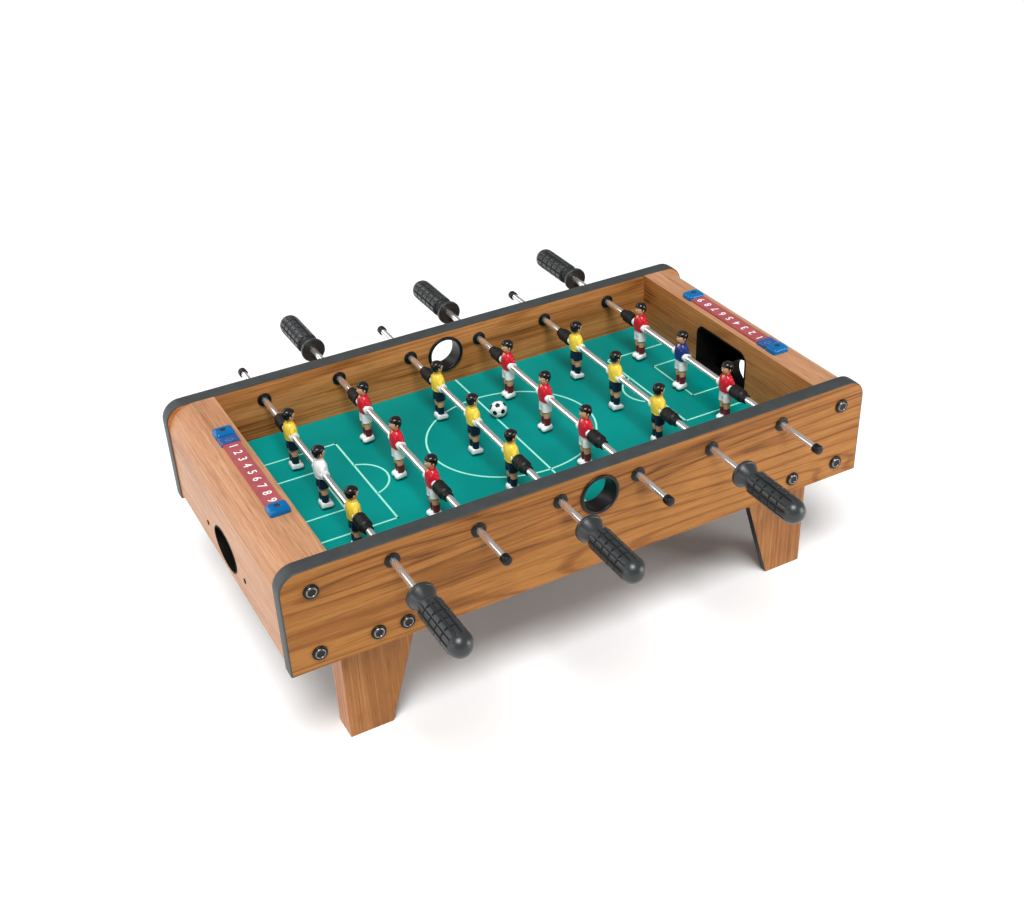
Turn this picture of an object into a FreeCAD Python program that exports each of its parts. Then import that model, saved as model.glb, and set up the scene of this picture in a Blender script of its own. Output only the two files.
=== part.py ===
"""Tabletop foosball table: a wooden box on four short legs, six rods with three players each.

Units are millimetres.
+X runs along the table, +Y to the rear and +Z up.
The origin is on the surface the table stands on, under the middle of the field.
One STEP file is written for each sub-part.
"""

import FreeCAD, Part
import math
import os

# ---------------------------------------------------------------- driving dimensions

TABLE_LENGTH = 690.0
BODY_WIDTH = 372.0
BODY_TOP = 240.0
BODY_BOTTOM = 121.0
PANEL_THICKNESS = 18.0
PANEL_CORNER_RADIUS = 22.0
EDGE_BAND = 1.5

ROD_PITCH = 92.4
ROD_HEIGHT = 217.5
ROD_RADIUS = 3.75
ROD_BORE_RADIUS = 2.95
# How far each rod is pushed to the rear at rest, from the left rod to the right one.
ROD_REST_SHIFT = (-5.0, 5.0, 4.2, 5.0, 1.8, 1.5)
RUNNING_GAP = 0.05
ROD_END_GAP = 0.2

FIELD_TOP = 169.5
FIELD_THICKNESS = 6.0
GROOVE_DEPTH = 4.0
GROOVE_CLEARANCE = 0.2

END_WALL_FACE = 287.5
END_WALL_THICKNESS = 12.0
COVER_TOP = 239.0
COVER_THICKNESS = 9.0
COVER_OUTER_FACE = 343.0
COVER_RADIUS = 32.0
COVER_BOTTOM = 126.0

GOAL_HALF_WIDTH = 49.0
GOAL_TOP = 222.0
GOAL_CORNER_RADIUS = 13.0
GOAL_BOX_HALF_WIDTH = 55.0
GOAL_BOX_BOTTOM = 127.0
GOAL_BOX_WALL = 2.0
GOAL_BOX_HEADROOM = 1.2
FRAME_SILL = 3.0
FRAME_LIP = 0.5
EXIT_HALF_WIDTH = 35.0
EXIT_HALF_HEIGHT = 22.5
EXIT_HEIGHT = 155.0
EXIT_LINER_WALL = 1.8
EXIT_SCREW_Y = 59.5
EXIT_SCREW_HEIGHT = 153.0
EAR_WIDTH = 11.0
EAR_HALF_HEIGHT = 10.0
# The small screws of the covers and scorers.
SCREW_RADIUS = 1.5
SCREW_HEAD_RADIUS = 3.0
SCREW_HOLE_RADIUS = 1.6
SCREW_SEAT_DEPTH = 1.6
SCREW_LENGTH = 14.0
SCREW_SLOT_WIDTH = 0.8

DROP_HEIGHT = 209.0
DROP_BORE_RADIUS = 19.0
DROP_BARREL_RADIUS = 20.5
DROP_FLANGE_RADIUS = 23.0
BUSH_BARREL_RADIUS = 6.4
BUSH_FLANGE_RADIUS = 8.25
FLANGE_THICKNESS = 2.5
FLANGE_BEVEL = 0.8
HOLE_CLEARANCE = 0.1

END_BOLT_X = 314.0
END_BOLT_HEIGHTS = (214.0, 139.6)
LEG_BOLT_XS = (252.8, 221.6)
LEG_BOLT_HEIGHT = 138.7
BOLT_RADIUS = 3.0
BOLT_HEAD_RADIUS = 6.0
BOLT_HEAD_HEIGHT = 2.6
BOLT_HEAD_BEVEL = 1.3
RECESS_REACH = 3.0
RECESS_HALF_WIDTH = 0.7
RECESS_DEPTH = 1.4
CUP_RADIUS = 8.0
CUP_HEIGHT = 2.4
CUP_BASE = 0.8
CUP_BEVEL = 0.6
CUP_GAP = 0.2
NUT_ACROSS_FLATS = 10.0
NUT_THICKNESS = 5.0
BLOCK_DEPTH = 22.0

LEG_OUTER_X = 289.0
LEG_FOOT_INNER_X = 241.5
LEG_TOP = 154.0
LEG_SLANT = 0.30
LEG_BOARD = 9.0
LEG_RETURN = 30.0

PLAYER_PITCH = 88.2
PLAYER_HUB_HALF = 13.0
HUB_RADIUS = 5.2
# Heights of a player are from the rod's axis; the boxes are half depth, half width, low, high.
TORSO_BOX = (7.5, 11.0, -6.5, 14.5)
TORSO_RADIUS = 5.0
SHORTS_BOX = (6.5, 9.0, -19.2, -6.0)
SHORTS_RADIUS = 3.5
LEGS_BOX = (4.8, 7.0, -40.0, -19.0)
LEGS_RADIUS = 2.5
NECK_RADIUS = 3.6
NECK_LOW = 13.0
NECK_HIGH = 18.3
HEAD_RADIUS = 7.0
HEAD_HEIGHT = 23.3
# The boots' side outline as (x, z), for a player that faces minus X.
BOOT_OUTLINE = [(-8, -39), (-8, -42.5), (-5.6, -45), (5, -45), (6.3, -43.6), (6.3, -38),
                (-3.5, -36)]
BOOT_HALF_WIDTH = 7.2

BUMPER_START = 101.5
BUMPER_END = 126.5
BUMPER_BODY_LENGTH = 17.5
BUMPER_BEVEL = 1.0
BUMPER_RADIUS = 7.5
BUMPER_NECK_RADIUS = 5.5

# Handle stations, measured from the outer face of the side panel.
HANDLE_START = 57.0
HANDLE_RIM = 4.5
HANDLE_RIM_RADIUS = 15.0
HANDLE_NECK_START = 74.0
HANDLE_NECK_RADIUS = 9.0
HANDLE_GRIP_START = 77.5
HANDLE_GRIP_RADIUS = 13.2
HANDLE_END = 149.0
HANDLE_SOCKET_END = 124.2
GRIP_GROOVES = 12
GRIP_GROOVE_DEPTH = 2.4
GRIP_GROOVE_WIDTH = 2.8
CROSS_GROOVES = 4
CROSS_GROOVE_DEPTH = 1.4
CROSS_GROOVE_WIDTH = 1.8

ROD_CAP_START = 57.0
ROD_CAP_END = 66.0
ROD_CAP_RADIUS = 5.2
ROD_CAP_FLOOR = 1.8
ROD_CAP_BEVEL = 1.2

SCORER_X = 304.0
SCORER_LENGTH = 183.0
SCORER_STRIP_WIDTH = 18.5
SCORER_STRIP_HEIGHT = 3.0
SCORER_CAP_WIDTH = 22.0
SCORER_CAP_LENGTH = 18.0
SCORER_CAP_HEIGHT = 7.0
SCORER_CAP_OVERLAP = 5.0
SCORER_CORNER_RADIUS = 3.5
SCORER_EDGE_RADIUS = 1.8
SLIDER_LENGTH = 15.0
SLIDER_HEIGHT = 5.6
SLIDER_GAP = 0.3
SCORER_SCREW_INSET = 9.0
SCORER_SEAT_DEPTH = 2.6

BALL_RADIUS = 10.0
BALL_X = 15.0
BALL_Y = 62.0

# ---------------------------------------------------------------- worked-out places

BODY_FACE_Y = BODY_WIDTH / 2
INNER_FACE_Y = BODY_FACE_Y - PANEL_THICKNESS
HALF_LENGTH = TABLE_LENGTH / 2
END_WALL_BACK = END_WALL_FACE + END_WALL_THICKNESS
COVER_INNER_FACE = COVER_OUTER_FACE - COVER_THICKNESS
COVER_UNDERSIDE = COVER_TOP - COVER_THICKNESS
ROD_XS = [ROD_PITCH * (index - 2.5) for index in range(6)]
X_AXIS = FreeCAD.Vector(1, 0, 0)
Y_AXIS = FreeCAD.Vector(0, 1, 0)
Z_AXIS = FreeCAD.Vector(0, 0, 1)
ORIGIN = FreeCAD.Vector(0, 0, 0)


# ---------------------------------------------------------------- shape helpers

def vec(x, y, z):
    return FreeCAD.Vector(x, y, z)


def block(low, high):
    """A box between two opposite corners."""
    size = [b - a for a, b in zip(low, high)]
    return Part.makeBox(*size, vec(*low))


def rod_of(radius, start, length, direction):
    """A round bar from a start point along a direction."""
    return Part.makeCylinder(radius, length, start, direction)


def face_xz(edges):
    """A flat face in the XZ plane from lines and arcs given as edges."""
    return Part.Face(Part.Wire(edges))


def line_xz(a, b):
    return Part.LineSegment(vec(a[0], 0, a[1]), vec(b[0], 0, b[1])).toShape()


def arc_xz(start, middle, end):
    points = [vec(x, 0, z) for x, z in (start, middle, end)]
    return Part.Arc(*points).toShape()


def polygon_xz(points):
    closed = list(points) + [points[0]]
    return Part.Face(Part.makePolygon([vec(x, 0, z) for x, z in closed]))


def prism_y(face, y_start, y_end):
    """Pushes an XZ face from one y to another."""
    placed = face.copy()
    placed.translate(vec(0, y_start, 0))
    return placed.extrude(vec(0, y_end - y_start, 0))


def turned(points, arc=None):
    """A body of revolution about the Y axis.

    points are (radius, y) pairs, in order. arc, if given, is a (start, middle, end)
    curve that follows the last point and ends on the axis.
    """
    corners = [vec(radius, y, 0) for radius, y in points]
    edges = [
        Part.LineSegment(a, b).toShape() for a, b in zip(corners, corners[1:])
    ]
    last = corners[-1]
    if arc:
        curve = [vec(radius, y, 0) for radius, y in arc]
        edges.append(Part.Arc(*curve).toShape())
        last = curve[-1]
    edges.append(Part.LineSegment(last, corners[0]).toShape())
    return Part.Face(Part.Wire(edges)).revolve(ORIGIN, Y_AXIS, 360)


def moved(shape, x=0.0, y=0.0, z=0.0):
    copy = shape.copy()
    copy.translate(vec(x, y, z))
    return copy


def half_turn(shape):
    """The shape turned half round about the Z axis."""
    copy = shape.copy()
    copy.rotate(ORIGIN, Z_AXIS, 180)
    return copy


def mirrored_x(shape):
    return shape.mirror(ORIGIN, X_AXIS)


def mirrored_y(shape):
    return shape.mirror(ORIGIN, Y_AXIS)


def four_ways(shape):
    """A shape and its mirror images at the other three corners of the table."""
    pair = [shape, mirrored_x(shape)]
    return pair + [mirrored_y(item) for item in pair]


def hexagon_prism(across_flats, length):
    """A hexagonal bar about the Y axis, from y = 0."""
    corner_radius = across_flats / math.sqrt(3)
    angles = [math.radians(60 * step) for step in range(6)]
    points = [(corner_radius * math.cos(a), corner_radius * math.sin(a)) for a in angles]
    return prism_y(polygon_xz(points), 0, length)


def arch_face(half_width, bottom, top, radius):
    """A rectangle in the YZ plane with rounded upper corners."""
    diagonal = radius * (1 - math.sqrt(0.5))
    right = [(half_width, bottom), (half_width, top - radius)]
    arc_right = (right[1], (half_width - diagonal, top - diagonal), (half_width - radius, top))
    edges = []
    for sign in (1, -1):
        points = [vec(0, sign * y, z) for y, z in right]
        curve = [vec(0, sign * y, z) for y, z in arc_right]
        edges.append(Part.LineSegment(*points).toShape())
        edges.append(Part.Arc(*curve).toShape())
    shoulder = half_width - radius
    edges.append(Part.LineSegment(vec(0, shoulder, top), vec(0, -shoulder, top)).toShape())
    foot = [vec(0, -half_width, bottom), vec(0, half_width, bottom)]
    edges.append(Part.LineSegment(*foot).toShape())
    return Part.Face(Part.Wire(Part.sortEdges(edges)[0]))


def arch_bar(half_width, bottom, top, radius, x_start, x_end):
    face = arch_face(half_width, bottom, top, radius)
    face.translate(vec(x_start, 0, 0))
    return face.extrude(vec(x_end - x_start, 0, 0))


def exit_bar(x_start, x_end, inset=0.0):
    """An oval bar along X, the size of a ball exit, drawn in by inset."""
    oval = Part.Ellipse(ORIGIN, EXIT_HALF_WIDTH - inset, EXIT_HALF_HEIGHT - inset).toShape()
    face = Part.Face(Part.Wire([oval]))
    # A third of a turn about the cube diagonal carries X to Y and Z to X.
    face.rotate(ORIGIN, vec(1, 1, 1), 120)
    face.translate(vec(x_start, 0, EXIT_HEIGHT))
    return face.extrude(vec(x_end - x_start, 0, 0))


# ---------------------------------------------------------------- side panels

def panel_outline(inset):
    """A side panel's outline, with its ends and top drawn in by inset."""
    half = HALF_LENGTH - inset
    top = BODY_TOP - inset
    radius = PANEL_CORNER_RADIUS - inset
    diagonal = radius * (1 - math.sqrt(0.5))
    return face_xz([
        line_xz((-half, BODY_BOTTOM), (half, BODY_BOTTOM)),
        line_xz((half, BODY_BOTTOM), (half, top - radius)),
        arc_xz((half, top - radius), (half - diagonal, top - diagonal), (half - radius, top)),
        line_xz((half - radius, top), (radius - half, top)),
        arc_xz((radius - half, top), (diagonal - half, top - diagonal), (-half, top - radius)),
        line_xz((-half, top - radius), (-half, BODY_BOTTOM)),
    ])


def bolt_places():
    """The (x, z) of the bolts in one panel."""
    ends = [(sign * END_BOLT_X, z) for sign in (-1, 1) for z in END_BOLT_HEIGHTS]
    legs = [(sign * x, LEG_BOLT_HEIGHT) for sign in (-1, 1) for x in LEG_BOLT_XS]
    return ends + legs


def rear_panel():
    """The rear side panel with all its holes and the groove for the field."""
    panel = prism_y(panel_outline(EDGE_BAND), INNER_FACE_Y, BODY_FACE_Y)
    start = INNER_FACE_Y - 1
    through = PANEL_THICKNESS + 2
    holes = [
        rod_of(BUSH_BARREL_RADIUS + HOLE_CLEARANCE, vec(x, start, ROD_HEIGHT), through, Y_AXIS)
        for x in ROD_XS
    ]
    drop = vec(0, start, DROP_HEIGHT)
    holes.append(rod_of(DROP_BARREL_RADIUS + HOLE_CLEARANCE, drop, through, Y_AXIS))
    for x, z in bolt_places():
        holes.append(rod_of(BOLT_RADIUS + HOLE_CLEARANCE, vec(x, start, z), through, Y_AXIS))
    holes.append(block(
        (-END_WALL_BACK, INNER_FACE_Y - 1, FIELD_TOP - FIELD_THICKNESS),
        (END_WALL_BACK, INNER_FACE_Y + GROOVE_DEPTH, FIELD_TOP),
    ))
    return panel.cut(holes)


def rear_edge_band():
    """The dark plastic strip round the ends and top of the rear panel."""
    outer = prism_y(panel_outline(0), INNER_FACE_Y, BODY_FACE_Y)
    core = prism_y(panel_outline(EDGE_BAND), INNER_FACE_Y, BODY_FACE_Y)
    return outer.cut(core)


# ---------------------------------------------------------------- ends of the box

def playfield():
    """The board, notched at each goal for the sill of the goal frame."""
    edge_y = INNER_FACE_Y + GROOVE_DEPTH - GROOVE_CLEARANCE
    low = (-END_WALL_BACK, -edge_y, FIELD_TOP - FIELD_THICKNESS)
    board = block(low, (END_WALL_BACK, edge_y, FIELD_TOP))
    notch_x = END_WALL_FACE - FRAME_LIP - GROOVE_CLEARANCE
    half = GOAL_HALF_WIDTH + GROOVE_CLEARANCE
    notch = block((notch_x, -half, low[2] - 1), (END_WALL_BACK + 1, half, FIELD_TOP + 1))
    return board.cut([notch, mirrored_x(notch)])


def right_end_wall():
    """The wall behind the goal line, with the goal opening."""
    wall = block((END_WALL_FACE, -INNER_FACE_Y, FIELD_TOP),
                 (END_WALL_BACK, INNER_FACE_Y, COVER_UNDERSIDE))
    mouth = arch_bar(
        GOAL_HALF_WIDTH + HOLE_CLEARANCE, FIELD_TOP - 1, GOAL_TOP + HOLE_CLEARANCE,
        GOAL_CORNER_RADIUS + HOLE_CLEARANCE, END_WALL_FACE - 1, END_WALL_BACK + 1,
    )
    return wall.cut(mouth)


def screw_line(y_sign):
    return vec(COVER_OUTER_FACE, y_sign * EXIT_SCREW_Y, EXIT_SCREW_HEIGHT)


def scorer_screw_ys():
    """The y of the two screws of a scorer."""
    reach = SCORER_LENGTH / 2 - SCORER_SCREW_INSET
    return (-reach, reach)


def right_end_cover():
    """The curved board that closes an end: flat top, round shoulder, upright face."""
    corner_x = COVER_OUTER_FACE - COVER_RADIUS
    corner_z = COVER_TOP - COVER_RADIUS
    inner_radius = COVER_RADIUS - COVER_THICKNESS
    slant = math.sqrt(0.5)
    outer_mid = (corner_x + COVER_RADIUS * slant, corner_z + COVER_RADIUS * slant)
    inner_mid = (corner_x + inner_radius * slant, corner_z + inner_radius * slant)
    outline = face_xz([
        line_xz((END_WALL_FACE, COVER_UNDERSIDE), (END_WALL_FACE, COVER_TOP)),
        line_xz((END_WALL_FACE, COVER_TOP), (corner_x, COVER_TOP)),
        arc_xz((corner_x, COVER_TOP), outer_mid, (COVER_OUTER_FACE, corner_z)),
        line_xz((COVER_OUTER_FACE, corner_z), (COVER_OUTER_FACE, COVER_BOTTOM)),
        line_xz((COVER_OUTER_FACE, COVER_BOTTOM), (COVER_INNER_FACE, COVER_BOTTOM)),
        line_xz((COVER_INNER_FACE, COVER_BOTTOM), (COVER_INNER_FACE, corner_z)),
        arc_xz((COVER_INNER_FACE, corner_z), inner_mid, (corner_x, COVER_UNDERSIDE)),
        line_xz((corner_x, COVER_UNDERSIDE), (END_WALL_FACE, COVER_UNDERSIDE)),
    ])
    cover = prism_y(outline, -INNER_FACE_Y, INNER_FACE_Y)
    cuts = [exit_bar(COVER_INNER_FACE - 1, COVER_OUTER_FACE + 1)]
    for sign in (-1, 1):
        start = screw_line(sign) - X_AXIS * (COVER_THICKNESS + 1)
        seat = screw_line(sign) - X_AXIS * SCREW_SEAT_DEPTH
        cuts.append(rod_of(SCREW_HOLE_RADIUS, start, COVER_THICKNESS + 2, X_AXIS))
        cuts.append(rod_of(SCREW_HEAD_RADIUS + HOLE_CLEARANCE, seat, SCREW_SEAT_DEPTH + 1, X_AXIS))
    for y in scorer_screw_ys():
        low = vec(SCORER_X, y, COVER_UNDERSIDE - 1)
        cuts.append(rod_of(SCREW_HOLE_RADIUS, low, COVER_THICKNESS + 2, Z_AXIS))
    return cover.cut(cuts)


def shoulder_profile(inset):
    """The goal box's outline, which fits behind the end wall and under the curved cover."""
    low_x = END_WALL_BACK + inset
    high_x = COVER_INNER_FACE - GROOVE_CLEARANCE - inset
    low_z = GOAL_BOX_BOTTOM + inset
    top = COVER_UNDERSIDE - GOAL_BOX_HEADROOM - inset
    # The slope runs inside the cover's inner round, which has its centre at the same height.
    slope_z = COVER_TOP - COVER_RADIUS - 1 - inset / 2
    slope_x = COVER_OUTER_FACE - COVER_RADIUS + inset / 2
    return [(low_x, low_z), (high_x, low_z), (high_x, slope_z), (slope_x, top), (low_x, top)]


def right_goal_box():
    """A black box behind the goal, open to the goal frame, with an oval exit and two ears."""
    wall = GOAL_BOX_WALL
    half = GOAL_BOX_HALF_WIDTH
    shell = prism_y(polygon_xz(shoulder_profile(0)), -half, half)
    hollow = prism_y(polygon_xz(shoulder_profile(wall)), wall - half, half - wall)
    front_sill = FIELD_TOP - FRAME_SILL - GROOVE_CLEARANCE
    front = block((END_WALL_BACK - 1, wall - half, front_sill),
                  (END_WALL_BACK + wall + 1, half - wall,
                   COVER_UNDERSIDE - GOAL_BOX_HEADROOM - wall))
    back = COVER_INNER_FACE - GROOVE_CLEARANCE
    ear_low = EXIT_SCREW_HEIGHT - EAR_HALF_HEIGHT
    ear_high = EXIT_SCREW_HEIGHT + EAR_HALF_HEIGHT
    ear = block((back - wall, half - wall, ear_low), (back, half + EAR_WIDTH, ear_high))
    box = shell.fuse([ear, mirrored_y(ear)])
    cuts = [hollow, front, exit_bar(back - wall - 1, back + 1)]
    for sign in (-1, 1):
        start = vec(back - wall - 1, sign * EXIT_SCREW_Y, EXIT_SCREW_HEIGHT)
        cuts.append(rod_of(SCREW_HOLE_RADIUS, start, wall + 2, X_AXIS))
    return box.cut(cuts)


def right_goal_frame():
    """The black arch that lines the goal opening, with a sill at the field's edge."""
    wall = GOAL_BOX_WALL
    start = END_WALL_FACE - FRAME_LIP
    end = END_WALL_BACK + wall
    body = arch_bar(GOAL_HALF_WIDTH, FIELD_TOP - FRAME_SILL, GOAL_TOP, GOAL_CORNER_RADIUS,
                    start, end)
    passage = arch_bar(GOAL_HALF_WIDTH - wall, FIELD_TOP - GROOVE_CLEARANCE, GOAL_TOP - wall,
                       GOAL_CORNER_RADIUS - wall, start - 1, end + 1)
    return body.cut(passage)


def right_exit_liner():
    """The oval sleeve that lines the ball exit through the cover."""
    start = COVER_INNER_FACE - GROOVE_CLEARANCE - GOAL_BOX_WALL
    sleeve = exit_bar(start, COVER_OUTER_FACE + FRAME_LIP, HOLE_CLEARANCE)
    return sleeve.cut(exit_bar(start - 1, COVER_OUTER_FACE + 1, EXIT_LINER_WALL))


def right_goal():
    """The three black mouldings of a goal, as separate solids."""
    return [right_goal_box(), right_goal_frame(), right_exit_liner()]


def cover_screws():
    """Four screws that hold the goal boxes to the covers."""
    screws = []
    depth = SCREW_SEAT_DEPTH - HOLE_CLEARANCE
    reach = SCREW_SLOT_WIDTH * 3
    slot_half = SCREW_SLOT_WIDTH / 2
    for sign in (-1, 1):
        place = screw_line(sign)
        shaft = rod_of(SCREW_RADIUS, place - X_AXIS * SCREW_LENGTH, SCREW_LENGTH - 1, X_AXIS)
        head = rod_of(SCREW_HEAD_RADIUS, place - X_AXIS * depth, depth + FRAME_LIP, X_AXIS)
        slot = block((COVER_OUTER_FACE - slot_half, place.y - reach, place.z - slot_half),
                     (COVER_OUTER_FACE + 1, place.y + reach, place.z + slot_half))
        screw = shaft.fuse(head).cut(slot)
        screws += [screw, mirrored_x(screw)]
    return screws


def end_corner_blocks():
    """Four hidden wooden blocks that tie panel, end wall and cover together."""
    profile = polygon_xz(shoulder_profile(0))
    corner = prism_y(profile, INNER_FACE_Y - BLOCK_DEPTH, INNER_FACE_Y)
    start_y = INNER_FACE_Y - BLOCK_DEPTH - 1
    holes = [
        rod_of(BOLT_RADIUS + HOLE_CLEARANCE, vec(END_BOLT_X, start_y, z), BLOCK_DEPTH + 2, Y_AXIS)
        for z in END_BOLT_HEIGHTS
    ]
    return four_ways(corner.cut(holes))


# ---------------------------------------------------------------- bushes and rings

def flanged_half(bore, barrel, flange):
    """Half of a two-part bush: a flange at y = 0 outwards and a barrel inwards."""
    depth = PANEL_THICKNESS / 2
    edge = FLANGE_THICKNESS - FLANGE_BEVEL
    return turned([
        (bore, -depth), (barrel, -depth), (barrel, 0), (flange, 0),
        (flange, edge), (flange - FLANGE_BEVEL, FLANGE_THICKNESS), (bore, FLANGE_THICKNESS),
    ])


def bush_set(half, x, z):
    """The two halves in the rear panel and the two in the front one."""
    outer = moved(half, x, BODY_FACE_Y, z)
    inner = moved(mirrored_y(half), x, INNER_FACE_Y, z)
    rear = [outer, inner]
    return rear + [mirrored_y(item) for item in rear]


def rod_bushings():
    half = flanged_half(ROD_RADIUS + RUNNING_GAP, BUSH_BARREL_RADIUS, BUSH_FLANGE_RADIUS)
    return [item for x in ROD_XS for item in bush_set(half, x, ROD_HEIGHT)]


def ball_drop_rings():
    half = flanged_half(DROP_BORE_RADIUS, DROP_BARREL_RADIUS, DROP_FLANGE_RADIUS)
    return bush_set(half, 0, DROP_HEIGHT)


# ---------------------------------------------------------------- bolts

def bolt(length):
    """A bolt with a domed, cross-recessed head; its shaft runs to minus Y."""
    seat = CUP_BASE
    top = seat + BOLT_HEAD_HEIGHT
    head = turned([
        (0, seat), (BOLT_HEAD_RADIUS, seat), (BOLT_HEAD_RADIUS, top - BOLT_HEAD_BEVEL),
        (BOLT_HEAD_RADIUS - BOLT_HEAD_BEVEL, top), (0, top),
    ])
    shaft = rod_of(BOLT_RADIUS, vec(0, seat - length, 0), length + 0.5, Y_AXIS)
    floor = top - RECESS_DEPTH
    arm = block((-RECESS_REACH, floor, -RECESS_HALF_WIDTH),
                (RECESS_REACH, top + 1, RECESS_HALF_WIDTH))
    other = block((-RECESS_HALF_WIDTH, floor, -RECESS_REACH),
                  (RECESS_HALF_WIDTH, top + 1, RECESS_REACH))
    return head.fuse(shaft).cut([arm, other])


def cup():
    """A round cup washer that stands on the panel and holds a bolt head."""
    pocket = BOLT_HEAD_RADIUS + CUP_GAP
    hole = BOLT_RADIUS + CUP_GAP
    return turned([
        (hole, 0), (CUP_RADIUS, 0), (CUP_RADIUS, CUP_HEIGHT - CUP_BEVEL),
        (CUP_RADIUS - CUP_BEVEL, CUP_HEIGHT), (pocket, CUP_HEIGHT), (pocket, CUP_BASE),
        (hole, CUP_BASE),
    ])


def both_panels(shape, x, z):
    rear = moved(shape, x, BODY_FACE_Y, z)
    return [rear, mirrored_y(rear)]


def panel_bolts():
    end_length = CUP_BASE + PANEL_THICKNESS + BLOCK_DEPTH - 2
    leg_length = CUP_BASE + PANEL_THICKNESS + LEG_BOARD + NUT_THICKNESS + 2
    bolts = []
    for x, z in bolt_places():
        length = end_length if abs(x) == END_BOLT_X else leg_length
        bolts += both_panels(bolt(length), x, z)
    return bolts


def bolt_cups():
    return [item for x, z in bolt_places() for item in both_panels(cup(), x, z)]


def leg_nuts():
    """Hexagon nuts on the inside of the legs."""
    nut = hexagon_prism(NUT_ACROSS_FLATS, NUT_THICKNESS)
    nut = nut.cut(rod_of(BOLT_RADIUS + HOLE_CLEARANCE, vec(0, -1, 0), NUT_THICKNESS + 2, Y_AXIS))
    inner = INNER_FACE_Y - LEG_BOARD - NUT_THICKNESS
    nuts = [moved(nut, x, inner, LEG_BOLT_HEIGHT) for x in LEG_BOLT_XS]
    return [item for one in nuts for item in four_ways(one)]


# ---------------------------------------------------------------- legs

def rear_right_leg():
    """A face board with a slanted inner edge, and a narrow board along its outer edge."""
    board = polygon_xz([
        (LEG_OUTER_X, 0), (LEG_OUTER_X, LEG_TOP),
        (LEG_FOOT_INNER_X - LEG_SLANT * LEG_TOP, LEG_TOP), (LEG_FOOT_INNER_X, 0),
    ])
    inner = INNER_FACE_Y - LEG_BOARD
    face = prism_y(board, inner, INNER_FACE_Y)
    holes = [
        rod_of(BOLT_RADIUS + HOLE_CLEARANCE, vec(x, inner - 1, LEG_BOLT_HEIGHT),
               LEG_BOARD + 2, Y_AXIS)
        for x in LEG_BOLT_XS
    ]
    side = block((LEG_OUTER_X - LEG_BOARD, INNER_FACE_Y - LEG_RETURN, 0),
                 (LEG_OUTER_X, inner, LEG_TOP))
    return [face.cut(holes), side]


# ---------------------------------------------------------------- rods and players

def rod():
    """A steel tube from the bottom of the handle's socket to the end cap's floor."""
    handle_end = BODY_FACE_Y + HANDLE_SOCKET_END - ROD_END_GAP
    cap_end = BODY_FACE_Y + ROD_CAP_END - ROD_CAP_FLOOR - ROD_END_GAP
    length = handle_end + cap_end
    start = vec(0, -cap_end, 0)
    tube = rod_of(ROD_RADIUS, start, length, Y_AXIS)
    return tube.cut(rod_of(ROD_BORE_RADIUS, start - Y_AXIS, length + 2, Y_AXIS))


def grip_cuts(start, end):
    """Lengthwise and cross grooves of the grip."""
    bed = HANDLE_GRIP_RADIUS - GRIP_GROOVE_DEPTH
    half = GRIP_GROOVE_WIDTH / 2
    groove = block((-half, start, bed), (half, end, HANDLE_GRIP_RADIUS + 1))
    cuts = []
    for step in range(GRIP_GROOVES):
        turned_groove = groove.copy()
        turned_groove.rotate(ORIGIN, Y_AXIS, step * 360 / GRIP_GROOVES)
        cuts.append(turned_groove)
    ring_bed = HANDLE_GRIP_RADIUS - CROSS_GROOVE_DEPTH
    for step in range(1, CROSS_GROOVES + 1):
        y = start + step * (end - start) / (CROSS_GROOVES + 1)
        low = y - CROSS_GROOVE_WIDTH / 2
        high = y + CROSS_GROOVE_WIDTH / 2
        outside = HANDLE_GRIP_RADIUS + 1
        ring = [(ring_bed, low), (outside, low), (outside, high), (ring_bed, high)]
        cuts.append(turned(ring))
    return cuts


def handle():
    """A bell-shaped collar, a neck and a ribbed grip with a round end."""
    face = BODY_FACE_Y
    bore = ROD_RADIUS + RUNNING_GAP
    grip_end = HANDLE_END - HANDLE_GRIP_RADIUS
    slant = HANDLE_GRIP_RADIUS * math.sqrt(0.5)
    outline = [
        (0, face + HANDLE_START),
        (HANDLE_RIM_RADIUS, face + HANDLE_START),
        (HANDLE_RIM_RADIUS, face + HANDLE_START + HANDLE_RIM),
        (HANDLE_NECK_RADIUS, face + HANDLE_NECK_START),
        (HANDLE_NECK_RADIUS, face + HANDLE_GRIP_START),
        (HANDLE_GRIP_RADIUS, face + HANDLE_GRIP_START),
        (HANDLE_GRIP_RADIUS, face + grip_end),
    ]
    dome = [
        (HANDLE_GRIP_RADIUS, face + grip_end),
        (slant, face + grip_end + slant),
        (0, face + HANDLE_END),
    ]
    body = turned(outline, dome)
    socket = rod_of(bore, vec(0, face + HANDLE_START - 1, 0),
                    HANDLE_SOCKET_END - HANDLE_START + 1, Y_AXIS)
    grooves = grip_cuts(face + HANDLE_GRIP_START - 1, face + grip_end + 1)
    return body.cut([socket] + grooves)


def rod_cap():
    """A black cup over the end of the rod that has no handle."""
    face = BODY_FACE_Y
    bore = ROD_RADIUS + RUNNING_GAP
    floor = face + ROD_CAP_END - ROD_CAP_FLOOR
    made = turned([
        (bore, face + ROD_CAP_START), (ROD_CAP_RADIUS, face + ROD_CAP_START),
        (ROD_CAP_RADIUS, face + ROD_CAP_END - ROD_CAP_BEVEL),
        (ROD_CAP_RADIUS - ROD_CAP_BEVEL, face + ROD_CAP_END),
        (0, face + ROD_CAP_END), (0, floor), (bore, floor),
    ])
    return mirrored_y(made)


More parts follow.
